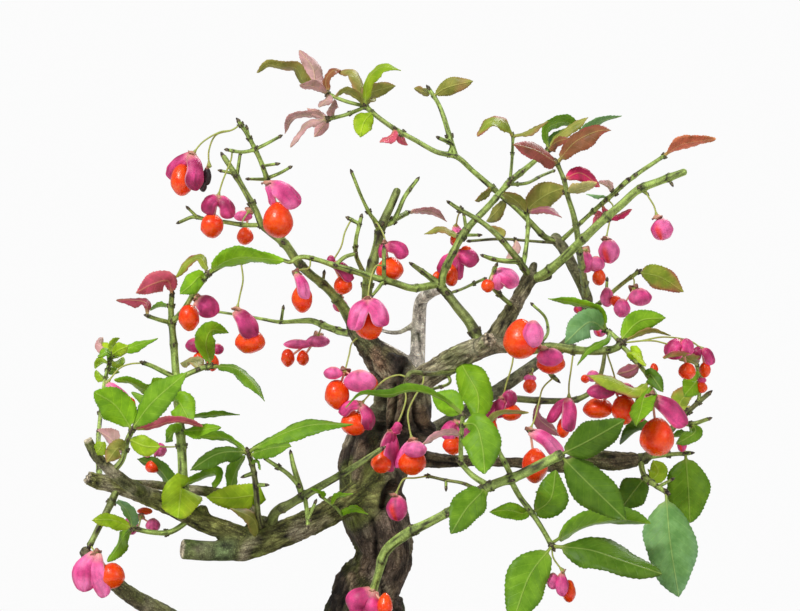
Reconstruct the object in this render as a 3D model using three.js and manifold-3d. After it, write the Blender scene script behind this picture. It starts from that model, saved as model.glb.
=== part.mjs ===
import * as THREE from "three";
import { mergeVertices } from "three/addons/utils/BufferGeometryUtils.js";
import Module from "manifold-3d";

// A small spindle-tree bonsai in autumn, in its pot, with leaves, pink capsules and orange arils.
// Millimetres, +Z up. The origin is the middle of the pot's underside.

const clearance = 0.3;
const tolerance = 0.1;
const pot = {
  length: 180, width: 128, height: 43, wall: 5, floor: 5, corner: 11, foot: 5, taper: 0.93,
  lipHeight: 7, lipOut: 3, lipTaper: 0.985, footLength: 26, footWidth: 16, footCorner: 4,
  footTaper: 0.92, footInset: 2, drainRadius: 7, drainPlace: 42,
};
const soil = { edge: 37.5, crown: 41.5, rows: 4, bumps: 0.5 };
const leafSize = { thickness: 1.0, widthToLength: 0.4, fold: 0.22, wave: 0.35 };
const valveSize = { thickness: 1.5, width: 5.6, cup: 0.42, bowPixels: 5 };
const arilSize = { ownNode: 125 };
const stemSize = { thinnest: 0.8, thread: 0.9, shortest: 0.8, thickPixels: 13, thinPixels: 8 };
const rootFlare = {
  count: 6, reach: 30, along: [0, 0.45, 0.75, 1], rises: [6.6, 1.8, -0.9, -5.4],
  widths: [12.8, 8, 5.5, 3.5],
};

// The tree's paths are read from the side: pixels across, pixels down and depth in mm.
// The eye is level, 600 mm off, and one pixel is 600 / 2640 mm at the trunk.
const eye = { distance: 600, height: 160, focal: 2640, middleX: 400, middleY: 305.5 };

function place([px, py, depth]) {
  const reach = (eye.distance + depth) / eye.focal;
  return new THREE.Vector3((px - eye.middleX) * reach, depth, eye.height - (py - eye.middleY) * reach);
}

function realWidth(pixels, depth) {
  return (pixels * (eye.distance + depth)) / eye.focal;
}

const wasm = await Module();
wasm.setup();
const { Manifold, Mesh } = wasm;

// One closed solid from a geometry, with shared points merged and flat triangles left out.
function solid(geometry) {
  geometry.deleteAttribute("normal");
  geometry.deleteAttribute("uv");
  const merged = mergeVertices(geometry, 1e-4);
  const corners = merged.index.array;
  const kept = [];
  for (let i = 0; i < corners.length; i += 3) {
    const [a, b, c] = [corners[i], corners[i + 1], corners[i + 2]];
    if (a !== b && b !== c && c !== a) kept.push(a, b, c);
  }
  const vertProperties = new Float32Array(merged.attributes.position.array);
  return new Manifold(new Mesh({ numProp: 3, vertProperties, triVerts: new Uint32Array(kept) }));
}

function joined(solids) {
  let layer = solids;
  while (layer.length > 1) {
    const next = [];
    for (let i = 0; i < layer.length; i += 2) {
      next.push(i + 1 < layer.length ? layer[i].add(layer[i + 1]) : layer[i]);
    }
    layer = next;
  }
  return layer[0];
}

function largest(shape) {
  const pieces = shape.decompose();
  pieces.sort((a, b) => b.volume() - a.volume());
  return pieces[0];
}

// The unit normal of a face and how thin the face is.
function faceShape([a, b, c]) {
  const normal = b.clone().sub(a).cross(c.clone().sub(a));
  const longest = Math.max(a.distanceTo(b), b.distanceTo(c), c.distanceTo(a));
  const thinness = longest > 0 ? normal.length() / longest : 0;
  return { normal: normal.normalize(), thinness };
}

// Takes out the points that joining and cutting leave where the surface hardly bends.
function plainer(shape, tolerance) {
  const { vertProperties, triVerts } = shape.getMesh();
  const points = [];
  for (let i = 0; i < vertProperties.length; i += 3) {
    points.push(new THREE.Vector3().fromArray(vertProperties, i));
  }
  const faces = [];
  for (let i = 0; i < triVerts.length; i += 3) faces.push([...triVerts.slice(i, i + 3)]);
  const around = points.map(() => new Set());
  faces.forEach((face, f) => face.forEach((v) => around[v].add(f)));
  const neighbours = (v) => new Set([...around[v]].flatMap((f) => faces[f]).filter((w) => w !== v));
  const cornersOf = (face) => face.map((v) => points[v]);

  function canMove(from, to) {
    const near = neighbours(from);
    if ([...neighbours(to)].filter((v) => near.has(v)).length !== 2) return false;
    for (const f of around[from]) {
      if (faces[f].includes(to)) continue;
      const before = faceShape(cornersOf(faces[f]));
      const after = faceShape(cornersOf(faces[f].map((v) => (v === from ? to : v))));
      const step = points[to].clone().sub(points[from]);
      if (before.thinness > 0.004 && Math.abs(step.dot(before.normal)) > tolerance) return false;
      if (before.thinness > 0.004 && after.normal.dot(before.normal) < 0.8) return false;
      if (after.thinness < Math.min(0.12, before.thinness)) return false;
    }
    return true;
  }

  function move(from, to) {
    for (const f of around[from]) {
      if (faces[f].includes(to)) {
        faces[f].forEach((v) => v !== from && around[v].delete(f));
        faces[f] = null;
      } else {
        faces[f] = faces[f].map((v) => (v === from ? to : v));
        around[to].add(f);
      }
    }
    around[from].clear();
  }

  for (let pass = 0; pass < 4; pass += 1) {
    const edges = [];
    faces.forEach((face) => face?.forEach((v, i) => {
      edges.push([v, face[(i + 1) % 3], points[v].distanceTo(points[face[(i + 1) % 3]])]);
    }));
    edges.sort((a, b) => a[2] - b[2]);
    for (const [from, to] of edges) {
      if (around[from].size && around[to].size && neighbours(from).has(to) && canMove(from, to)) {
        move(from, to);
      }
    }
  }
  const geometry = new THREE.BufferGeometry();
  const positions = points.flatMap((point) => point.toArray());
  geometry.setAttribute("position", new THREE.Float32BufferAttribute(positions, 3));
  geometry.setIndex(faces.filter(Boolean).flat());
  return geometry;
}

// A value from a short list spread evenly along 0 to 1.
function along(list, u) {
  const x = u * (list.length - 1);
  const i = Math.min(Math.floor(x), list.length - 2);
  return list.length === 1 ? list[0] : list[i] + (list[i + 1] - list[i]) * (x - i);
}

// Frames that turn as little as they can along the points of a path.
function framesOf(points) {
  const frames = [];
  let side = new THREE.Vector3(0, -1, 0);
  points.forEach((point, i) => {
    const ahead = points[Math.min(i + 1, points.length - 1)];
    const behind = points[Math.max(i - 1, 0)];
    const way = ahead.clone().sub(behind).normalize();
    side = side.clone().addScaledVector(way, -side.dot(way));
    if (side.length() < 0.2) side = new THREE.Vector3(1, 0, 0).addScaledVector(way, -way.x);
    side.normalize();
    frames.push({ point, way, side, across: side.clone().cross(way) });
  });
  return frames;
}

// A round stem: a cylinder laid along a path, with its own width at each step and rounded ends.
function stemSolid(path, widths, sides, detail, grow, roughness) {
  const curve = new THREE.CatmullRomCurve3(path, false, "centripetal");
  const steps = (path.length - 1) * detail;
  const points = [];
  for (let i = 0; i <= steps; i += 1) points.push(curve.getPoint(i / steps));
  const frames = framesOf(points);
  const geometry = new THREE.CylinderGeometry(1, 1, 1, sides, steps);
  const position = geometry.attributes.position;
  for (let i = 0; i < position.count; i += 1) {
    const [x, y, z] = [position.getX(i), position.getY(i), position.getZ(i)];
    const step = Math.round((y + 0.5) * steps);
    const { point, way, side, across } = frames[step];
    const bump = roughness ? roughness(Math.atan2(x, z), step / steps) : 1;
    const radius = Math.max(along(widths, step / steps), stemSize.thinnest) / 2 * bump + grow;
    const target = point.clone().addScaledVector(side, x * radius).addScaledVector(across, z * radius);
    if (Math.hypot(x, z) < 0.5) target.addScaledVector(way, Math.sign(y) * radius * 0.6);
    position.setXYZ(i, target.x, target.y, target.z);
  }
  return solid(geometry);
}

// A thin blade along a path: two faces with the same triangles, meeting at a sharp edge.
function bladeSolid(path, shape) {
  const { stations, profile, width, thickness, fold, rolls, wave, grow } = shape;
  const curve = new THREE.CatmullRomCurve3(path, false, "centripetal");
  const points = stations.map((u) => curve.getPointAt(u));
  const rows = stations.length - 1;
  const frames = framesOf(points);
  const faces = [1, -1].map((face) => {
    const plane = new THREE.PlaneGeometry(1, 1, 2, rows);
    const position = plane.attributes.position;
    for (let i = 0; i < position.count; i += 1) {
      const x = position.getX(i) * 2;
      const row = Math.round((position.getY(i) + 0.5) * rows);
      const { point, way } = frames[row];
      const flat = way.clone().cross(new THREE.Vector3(0, 1, 0));
      if (flat.length() < 0.05) flat.set(1, 0, 0);
      flat.normalize().applyAxisAngle(way, rolls[row]);
      const out = flat.clone().cross(way);
      const body = profile[row] > 0 ? 1 : 0;
      const half = (width / 2 * profile[row] + grow * body) * x;
      const lift = Math.abs(half) * fold + wave * body * Math.abs(x) * Math.sin(2.6 * row + 2 * x);
      const level = lift + face * (thickness / 2 + grow) * body * (1 - Math.abs(x));
      const target = point.clone().addScaledVector(flat, half).addScaledVector(out, level);
      position.setXYZ(i, target.x, target.y, target.z);
    }
    if (face < 0) plane.index.array.reverse();
    return plane;
  });
  return solid(joinedGeometry(faces));
}

function joinedGeometry(parts) {
  const positions = [];
  const corners = [];
  for (const part of parts) {
    const start = positions.length / 3;
    positions.push(...part.attributes.position.array);
    for (const corner of part.index.array) corners.push(corner + start);
  }
  const geometry = new THREE.BufferGeometry();
  geometry.setAttribute("position", new THREE.Float32BufferAttribute(positions, 3));
  geometry.setIndex(corners);
  return geometry;
}

function ball(centre, halfX, halfY, halfZ, sides, rows) {
  const geometry = new THREE.SphereGeometry(1, sides, rows);
  geometry.rotateX(Math.PI / 2);
  geometry.scale(halfX, halfY, halfZ);
  geometry.translate(centre.x, centre.y, centre.z);
  return solid(geometry);
}

// Each stem: what it grows from, its path and its widths in pixels from root to tip.
const limbs = {
  R: ["trunk", [[395, 405, 0], [415, 385, -2], [440, 368, -4], [465, 354, -6], [490, 345, -7],
    [508, 346, -8]], [30, 26, 25, 24, 22, 14]],
  M: ["R", [[490, 345, -7], [503, 325, -6], [513, 308, -4], [522, 292, -3], [531, 276, -2]],
    [22, 18, 16, 15, 16]],
  knobA: ["M", [[528, 280, -2], [534, 265, -2]], [10, 8]],
  knobB: ["M", [[531, 281, -2], [549, 276, -2]], [10, 8]],
  Z: ["trunk", [[408, 398, 10], [416, 372, 16], [418, 345, 20], [419, 320, 22], [421, 302, 20],
    [430, 293, 14], [440, 289, 6]], [14, 14, 13, 12, 12, 11, 10]],
  Rr: ["trunk", [[385, 455, 2], [415, 458, 4], [445, 461, 8], [480, 461, 10], [520, 463, 10],
    [560, 466, 6], [590, 459, 4], [615, 461, 4], [634, 460, 4]],
    [34, 28, 18, 12, 10, 12, 18, 20, 16]],
  R2: ["trunk", [[400, 446, 8], [425, 435, 20], [452, 420, 25], [480, 402, 27], [510, 382, 28],
    [540, 361, 28], [565, 345, 28], [583, 322, 27], [588, 300, 26]], [20, 18, 16, 14, 13, 12, 11, 11]],
  P: ["R2", [[588, 300, 26], [582, 285, 26], [572, 265, 26], [563, 248, 26], [555, 238, 26]],
    [11, 12]],
  BB: ["R2", [[490, 396, 27], [520, 399, 32], [550, 401, 34], [578, 399, 34], [595, 388, 33],
    [602, 370, 31], [605, 352, 30]], [8, 4]],
  LL: ["trunk", [[362, 492, -4], [338, 508, -8], [315, 520, -10], [290, 531, -12], [262, 541, -14],
    [238, 548, -14]], [34, 28, 26, 26, 28, 28]],
  stub: ["LL", [[240, 549, -14], [215, 551, -16], [183, 549, -18]], [26, 20, 20]],
  LL2: ["LL", [[248, 540, -14], [225, 530, -14], [205, 523, -14], [180, 510, -14], [155, 499, -14],
    [128, 489, -14], [100, 482, -15], [88, 478, -16]], [24, 20, 20, 20, 20, 18, 16, 14]],
  LL2b: ["LL", [[262, 530, -12], [240, 501, -6], [215, 493, -4], [185, 489, -4], [155, 485, -6],
    [128, 483, -12]], [18, 15, 12, 10, 9, 8]],
  LF: ["LL2", [[146, 498, -14], [125, 482, -22], [108, 468, -26], [94, 453, -29], [88, 440, -30]],
    [14, 9]],
  LW: ["trunk", [[352, 705, -2], [310, 690, -6], [260, 668, -8], [205, 640, -10], [165, 615, -12],
    [130, 595, -14], [105, 574, -15], [85, 552, -16]], [30, 12]],
};

const twigs = {
  D: ["trunk", [[348, 333, 8], [330, 328, 14], [312, 321, 18], [300, 321, 20], [280, 322, 22],
    [262, 319, 24], [245, 316, 26], [219, 312, 28]], [9, 8, 8, 5, 4, 3.5]],
  Ra: ["R", [[455, 370, -6], [440, 373, -10], [428, 374, -14], [410, 373, -16], [404, 388, -16]],
    [6, 4]],
  N: ["M", [[512, 306, -5], [500, 295, -9], [490, 283, -11], [493, 273, -12], [496, 266, -13]],
    [5, 4]],
  W: ["R2", [[586, 314, 27], [600, 303, 26], [608, 296, 24], [622, 284, 20], [638, 272, 18]],
    [5, 4]],
  LSH: ["LL", [[342, 515, -8], [336, 508, -16], [330, 503, -18], [322, 497, -18]], [4, 3]],
  LT: ["LL2", [[188, 520, -14], [170, 532, -16], [150, 532, -17], [133, 528, -18]], [6, 5]],
  LS: ["LL2", [[118, 488, -15], [110, 505, -17], [100, 525, -19], [90, 545, -20]], [11, 8]],
  LK: ["LL2", [[100, 482, -15], [98, 450, 0], [100, 420, 12], [105, 380, 20], [112, 355, 24]],
    [6, 4]],

  C: ["LL2", [[184, 505, -14], [183, 480, -12], [182, 455, -10], [180, 425, -9], [178, 400, -8],
    [176, 375, -8], [174, 348, -8], [172, 325, -9], [171, 308, -9], [172, 295, -9]], [10, 5]],
  C2: ["C", [[173, 322, -9], [182, 312, -12], [191, 298, -14], [200, 285, -16], [208, 274, -17]],
    [6, 5]],
  C3: ["C", [[172, 323, -9], [160, 320, -11], [148, 316, -13]], [5, 4]],
  C4: ["C", [[176, 378, -8], [164, 372, -9], [152, 366, -10], [144, 363, -11]], [6, 4]],
  C5: ["C", [[177, 380, -8], [190, 373, -8], [203, 368, -8], [212, 366, -8]], [6, 4]],
  C6: ["C2", [[208, 275, -17], [228, 264, -16], [246, 262, -14]], [4, 3]],

  B: ["trunk", [[352, 322, 0], [340, 303, -2], [325, 286, -4], [310, 274, -5], [297, 261, -6],
    [285, 244, -6], [270, 232, -6], [262, 225, -6], [256, 211, -6], [246, 193, -5], [235, 174, -4],
    [224, 157, -3]], [16, 14, 13, 13, 13, 12, 10, 8, 7, 6.5, 6.5, 6]],
  A: ["B", [[285, 240, -6], [279, 218, -5], [272, 195, -6], [266, 176, -8], [261, 162, -9],
    [255, 149, -10], [247, 134, -11], [239, 122, -12]], [6, 4]],
  A1: ["A", [[255, 150, -10], [242, 152, -12], [228, 150, -14]], [4, 3.5]],
  Bs: ["B", [[262, 225, -6], [245, 225, -5], [225, 222, -4], [205, 219, -3], [193, 217, -2],
    [180, 222, -1]], [6, 3.5]],

  G: ["R", [[482, 348, -7], [470, 323, -6], [458, 308, -5], [447, 294, -4], [437, 283, -4],
    [427, 275, -5], [413, 265, -6]], [12, 11, 10, 9, 8, 6, 4.5]],
  E: ["G", [[437, 285, -4], [412, 288, -7], [395, 283, -8], [380, 279, -9], [366, 275, -10],
    [350, 270, -11], [333, 265, -12], [318, 260, -13], [301, 257, -14], [290, 262, -14],
    [283, 260, -14]], [8, 6, 4]],
  Eup: ["E", [[384, 280, -9], [384, 265, -12], [384, 249, -13]], [4.5, 4]],
  F0: ["E", [[335, 265, -12], [345, 257, -11], [354, 254, -10]], [4.5, 4]],
  J: ["G", [[441, 288, -4], [443, 275, -5], [448, 263, -6], [456, 247, -7], [464, 233, -7],
    [475, 220, -6], [484, 211, -5], [495, 199, -3], [505, 187, -1], [511, 180, 0]], [8, 6]],
  J1: ["J", [[510, 181, 0], [512, 160, 2], [513, 136, 3]], [4.5, 4]],
  J2: ["J", [[510, 181, 0], [524, 170, 3], [536, 160, 6], [548, 150, 9]], [7, 4]],

  H: ["trunk", [[366, 338, 5], [367, 318, 6], [367, 298, 5], [368, 280, 5], [373, 262, 5], [378, 243, 5],
    [380, 231, 5], [386, 216, 6], [392, 203, 7],
    [397, 191, 8]], [12, 11, 10, 9, 8]],
  H2: ["H", [[379, 232, 5], [375, 221, 3], [370, 214, 1], [362, 198, -1], [352, 173, -3]],
    [8, 7, 5, 4, 4]],
  H3: ["H", [[383, 226, 5], [392, 222, 7], [398, 212, 8], [404, 198, 9], [410, 189, 10],
    [417, 180, 11]], [6, 4]],
  H3b: ["H3", [[394, 221, 7], [407, 213, 13]], [6, 5]],
  F1: ["H", [[364, 285, 4], [362, 270, -1], [356, 255, -5], [356, 240, -8], [359, 226, -8],
    [361, 218, -8]], [5, 4]],
  F1a: ["F1", [[360, 224, -8], [350, 219, -8]], [4]],

  K: ["M", [[527, 276, -3], [519, 261, -6], [511, 251, -8], [503, 241, -9], [495, 233, -10],
    [483, 223, -11], [470, 215, -12], [459, 209, -13], [450, 203, -14]], [9, 4]],
  O: ["K", [[518, 262, -6], [505, 261, -8], [493, 259, -9], [484, 256, -10]], [6, 4]],
  Q: ["K", [[523, 268, -4], [525, 255, -2], [527, 240, 0], [528, 222, 3], [527, 212, 4]], [5, 4]],

  S: ["P", [[557, 243, 26], [545, 237, 24], [532, 224, 22], [515, 207, 21], [495, 190, 20],
    [473, 171, 20], [457, 157, 20], [437, 152, 21], [415, 140, 23], [395, 129, 25],
    [378, 117, 26], [365, 106, 27]], [9, 5]],
  S1: ["S", [[365, 107, 27], [345, 101, 28], [328, 94, 29]], [4]],
  S2: ["S", [[365, 108, 27], [345, 115, 27], [328, 119, 27]], [4]],
  S3: ["S", [[456, 156, 20], [450, 138, 22], [443, 115, 24], [438, 103, 25], [429, 89, 26]], [6, 4]],

  P2: ["P", [[560, 242, 26], [576, 227, 24], [598, 207, 22], [612, 195, 20], [627, 181, 18]],
    [7, 6, 6, 6, 7]],
  P3: ["P2", [[622, 186, 19], [640, 172, 20], [655, 162, 21], [664, 156, 22]], [5, 4]],

  U: ["M", [[538, 277, -3], [557, 264, -6], [578, 244, -9], [600, 221, -12], [622, 199, -14],
    [637, 185, -15], [660, 180, -17], [684, 171, -19]], [11, 7]],

  V: ["P", [[586, 296, 26], [584, 280, 18], [581, 262, 9], [579, 248, 2], [577, 232, -1],
    [573, 213, -2], [568, 197, -3], [564, 180, -4], [557, 163, -4]], [8, 4]],

  X: ["R", [[500, 346, -8], [530, 350, -12], [552, 347, -13], [575, 350, -14], [600, 351, -14],
    [616, 348, -14], [622, 343, -14]], [12, 6]],
  X0: ["X", [[550, 348, -13], [550, 373, -13], [557, 380, -13]], [5, 4]],
  X1: ["X", [[621, 343, -14], [612, 334, -13], [605, 330, -12]], [5, 4]],
  X3: ["X", [[620, 344, -14], [634, 358, -15], [645, 372, -16], [653, 384, -17]], [5, 4]],

  Y: ["Rr", [[622, 461, 4], [645, 458, 4], [662, 440, 6], [680, 420, 6], [692, 408, 5],
    [708, 394, 4]], [14, 10, 8, 6, 5, 5]],
  Y2: ["Y", [[678, 423, 6], [692, 424, 3], [708, 419, 2]], [5, 4]],
  Y3: ["Y", [[698, 402, 5], [700, 385, 3], [697, 365, 0]], [4]],
  Y4: ["Y", [[645, 458, 4], [665, 455, 4], [690, 453, 4]], [5, 4]],
  YY: ["Y", [[640, 459, 4], [645, 477, 0], [658, 487, -4], [666, 492, -6]], [6, 5]],

  FB: ["trunk", [[362, 640, -4], [364, 625, -14], [370, 602, -20], [378, 575, -24], [386, 551, -26],
    [405, 535, -28], [430, 522, -30], [452, 510, -31], [475, 494, -32], [495, 484, -32],
    [515, 477, -32], [538, 466, -32], [560, 455, -32]], [11, 10, 9, 8, 7, 6]],
  FB2: ["FB", [[490, 487, -32], [472, 475, -31], [460, 462, -30]], [7, 5]],
  FE: ["FB2", [[461, 463, -30], [461, 440, -33], [463, 415, -36]], [5, 4]],
  FB3: ["FB", [[512, 478, -32], [506, 465, -30], [499, 452, -29]], [6, 5]],
  FC: ["FB", [[510, 479, -32], [520, 497, -30], [532, 513, -29], [543, 530, -28], [552, 546, -28]],
    [6, 5]],
  FD: ["FB", [[480, 490, -32], [462, 483, -24], [445, 480, -20], [428, 476, -18]], [5, 4]],

  LB: ["LL", [[272, 528, -12], [276, 512, -18], [290, 504, -20], [312, 491, -21], [335, 478, -22],
    [357, 465, -22], [380, 450, -22]], [12, 11, 9, 8, 7, 6, 5]],
  LB2: ["LB", [[302, 496, -20], [297, 478, -20], [293, 464, -20], [291, 454, -20]], [7, 4]],
  LB3: ["LB2", [[299, 486, -20], [288, 474, -22], [266, 459, -24]], [5, 4]],

  VL: ["LL", [[262, 530, -14], [258, 515, -19], [257, 500, -21], [255, 480, -23], [252, 464, -25],
    [248, 452, -27]], [9, 6]],

  LM: ["LF", [[112, 472, -25], [122, 460, -26], [127, 442, -28], [132, 430, -29]], [7, 5]],
};

// The stems that each leafy spray is made of. The rest is part of the trunk's own body.
const sprays = {
  spray_left_upright: ["C", "C2", "C3", "C4", "C5", "C6"],
  spray_upper_left: ["B", "A", "A1", "Bs"],
  spray_centre: ["G", "E", "Eup", "F0", "J", "J1", "J2"],
  spray_crown: ["H", "H2", "H3", "H3b", "F1", "F1a"],
  spray_centre_right: ["K", "O", "Q"],
  spray_crown_back: ["S", "S1", "S2", "S3"],
  spray_back_right: ["P2", "P3"],
  spray_right_high: ["U"],
  spray_right_tall: ["V"],
  spray_right_middle: ["X", "X0", "X1", "X3"],
  spray_right_low: ["Y", "Y2", "Y3", "Y4", "YY"],
  spray_front_low: ["FB", "FB2", "FE", "FB3", "FC", "FD"],
  spray_left_inner: ["LB", "LB2", "LB3"],
  spray_left_front: ["VL"],
  spray_left_low: ["LM"],
};

// Each leaf: its stem, the points of its midrib, its seen width and how far its tip leans back.
const leaves = [
  ["S1", [[304, 82], [296, 68], [282, 67], [268, 65], [257, 73]], 10, -3],
  ["S1", [[316, 82], [313, 68], [299, 50]], 20, 6],
  ["S1", [[312, 86], [300, 85]], 9, -8],
  ["S1", [[326, 84], [320, 79]], 7, 8],
  ["S1", [[326, 80], [333, 71], [341, 70]], 9, 5],
  ["S", [[361, 85], [353, 72], [338, 72]], 12, 7],
  ["S", [[352, 94], [345, 91], [335, 97]], 7, -9],
  ["S1", [[326, 100], [319, 107]], 10, -7],
  ["S", [[368, 80], [382, 67], [401, 70]], 12, -6],
  ["S", [[368, 94], [378, 90], [396, 86]], 15, 5],
  ["S", [[372, 106], [382, 107]], 9, 9],
  ["S", [[364, 122], [360, 137]], 20, -6],
  ["S2", [[331, 110], [334, 99]], 10, 8],
  ["S2", [[318, 113], [307, 108]], 8, 4],
  ["S2", [[310, 115], [292, 119], [285, 134]], 7, 9],
  ["S2", [[308, 123], [300, 132], [290, 147]], 8, -6],
  ["S2", [[322, 127], [314, 137]], 12, 3],
  ["S", [[390, 137], [380, 142]], 10, -7],
  ["S", [[401, 138], [408, 145]], 8, 6],
  ["S3", [[446, 88], [473, 81]], 17, -5],
  ["S3", [[424, 92], [414, 88]], 8, 6],
  ["J1", [[505, 123], [490, 122], [477, 136]], 13, -8],
  ["J1", [[530, 131], [548, 121]], 6, -4],
  ["J2", [[548, 128], [565, 122], [583, 131]], 11, 6],
  ["J2", [[560, 134], [588, 117]], 10, -2],
  ["J2", [[553, 140], [568, 129]], 8, 12],
  ["J2", [[556, 142], [574, 137]], 9, -9],
  ["V", [[585, 133], [602, 121], [622, 116]], 9, 7],
  ["V", [[575, 142], [598, 131], [611, 130]], 20, -5],
  ["V", [[552, 160], [535, 150], [513, 144]], 18, -9],
  ["V", [[580, 173], [600, 187]], 15, 3],
  ["Q", [[532, 205], [548, 194], [567, 187]], 27, 5],
  ["Q", [[515, 200], [502, 192]], 12, -6],
  ["S", [[494, 214], [486, 221]], 13, 8],
  ["S", [[485, 196], [475, 201]], 7, -5],
  ["V", [[580, 189], [597, 183]], 11, -7],
  ["P2", [[608, 186], [598, 182]], 6, 8],
  ["P2", [[598, 192], [586, 193]], 5, 12],
  ["Q", [[545, 208], [562, 217]], 8, -8],
  ["P2", [[598, 217], [591, 229]], 9, 8],
  ["P2", [[618, 206], [632, 210]], 8, 2],
  ["P3", [[680, 145], [698, 141], [716, 139]], 12, -4],
  ["W", [[660, 277], [684, 292]], 24, 6],
  ["H3b", [[430, 212], [447, 222]], 7, 6],
  ["X1", [[600, 312], [575, 303], [548, 299]], 8, -6],
  ["X1", [[590, 322], [565, 343]], 28, -11],
  ["X1", [[640, 321], [666, 318]], 23, 4],
  ["X1", [[606, 339], [588, 350], [577, 365]], 6, -12],
  ["BB", [[538, 417], [563, 437]], 12, 5],
  ["X3", [[625, 378], [584, 373]], 11, 8],
  ["X3", [[632, 370], [617, 374]], 14, -4],
  ["FB", [[590, 440], [625, 420]], 34, -8],
  ["Y", [[640, 430], [620, 445]], 14, 14],
  ["X3", [[640, 405], [640, 425]], 19, -3],
  ["X3", [[656, 396], [661, 404]], 12, -9],
  ["X3", [[672, 390], [682, 396]], 11, 7],
  ["Y3", [[683, 358], [667, 359]], 12, -7],
  ["Y", [[680, 404], [698, 382]], 20, 9],
  ["Y2", [[690, 432], [668, 438]], 9, 9],
  ["Y2", [[695, 432], [676, 444]], 14, -6],
  ["FC", [[550, 500], [556, 470]], 34, 9],
  ["FB", [[590, 485], [626, 520]], 40, -7],
  ["YY", [[635, 490], [620, 510]], 30, 4],
  ["YY", [[670, 540], [679, 597]], 52, -12],
  ["Y4", [[688, 485], [690, 523]], 44, -4],
  ["YY", [[658, 472], [653, 460]], 20, -9],
  ["R", [[466, 372], [478, 395], [477, 422]], 34, -12],
  ["FE", [[448, 402], [432, 396]], 26, 4],
  ["FE", [[440, 398], [412, 390], [388, 395], [362, 394], [346, 408]], 9, -8],
  ["FE", [[475, 425], [482, 445], [485, 474]], 38, -9],
  ["FE", [[445, 434], [423, 444]], 8, -6],
  ["FE", [[483, 428], [500, 414], [529, 413]], 7, 8],
  ["FB", [[470, 505], [452, 535]], 30, -8],
  ["FB", [[510, 508], [526, 519]], 15, 5],
  ["FC", [[530, 575], [512, 625]], 42, -6],
  ["FC", [[580, 528], [615, 520], [651, 524]], 22, 12],
  ["FC", [[590, 550], [620, 560], [662, 574]], 30, -10],
  ["C3", [[146, 303], [132, 300], [116, 300]], 9, 6],
  ["C", [[160, 285], [137, 296]], 20, -8],
  ["C2", [[201, 258], [188, 262], [173, 280]], 9, 8],
  ["C2", [[192, 283], [180, 294]], 15, -5],
  ["C2", [[235, 257], [262, 258], [285, 261]], 17, -9],
  ["C", [[160, 306], [150, 311]], 5, 9],
  ["C5", [[206, 343], [212, 330], [229, 333]], 20, 7],
  ["C5", [[235, 368], [252, 382], [265, 401]], 10, -8],
  ["C5", [[195, 361], [180, 363]], 10, 10],
  ["C", [[160, 385], [147, 390], [130, 382], [114, 380]], 12, -9],
  ["C", [[160, 396], [145, 397], [131, 392]], 10, 11],
  ["LM", [[150, 405], [187, 372]], 28, -6],
  ["LM", [[150, 415], [163, 402]], 18, 7],
  ["C", [[180, 403], [191, 424]], 27, -7],
  ["LM", [[155, 423], [180, 423], [203, 428]], 8, 9],
  ["C", [[200, 430], [221, 427]], 13, -5],
  ["C", [[215, 415], [240, 415]], 6, 8],
  ["C", [[174, 432], [166, 442]], 12, -9],
  ["LM", [[115, 405], [94, 392]], 34, -5],
  ["LM", [[118, 448], [107, 462]], 18, -9],
  ["LM", [[145, 446], [160, 447]], 20, -3],
  ["LM", [[115, 440], [103, 436]], 14, 9],
  ["LF", [[99, 450], [104, 442]], 14, -6],
  ["LL2b", [[160, 467], [135, 460]], 20, 8],
  ["C", [[182, 500], [179, 530]], 40, -14],
  ["LL2b", [[224, 494], [228, 524]], 40, -18],
  ["LL", [[252, 520], [243, 530]], 18, -14],
  ["VL", [[225, 438], [196, 438]], 9, 6],
  ["VL", [[220, 453], [190, 470]], 17, -7],
  ["LL2b", [[215, 474], [183, 485]], 11, 9],
  ["LL2b", [[236, 470], [245, 455]], 12, 8],
  ["VL", [[275, 437], [310, 425], [353, 424]], 15, -6],
  ["VL", [[270, 440], [285, 438], [304, 437]], 5, 8],
  ["VL", [[270, 448], [291, 446]], 12, -12],
  ["VL", [[259, 467], [264, 478]], 8, -6],
  ["LSH", [[319, 493], [314, 489]], 6, -5],
  ["LSH", [[340, 496], [353, 494]], 6, -8],
  ["LT", [[112, 520], [92, 520]], 14, -6],
  ["LT", [[128, 512], [118, 500]], 16, -11],
  ["LT", [[115, 545], [108, 562]], 13, 7],
  ["LK", [[130, 348], [158, 338]], 9, 5],
  ["LK", [[104, 348], [95, 345]], 14, 8],
  ["LK", [[119, 350], [128, 346]], 14, -6],
  ["LK", [[110, 345], [111, 334]], 5, 8],
  ["LK", [[116, 362], [124, 357]], 9, 9],
  ["LK", [[98, 382], [90, 390]], 8, -8],
  ["LK", [[112, 371], [120, 372]], 8, 4],
];

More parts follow.
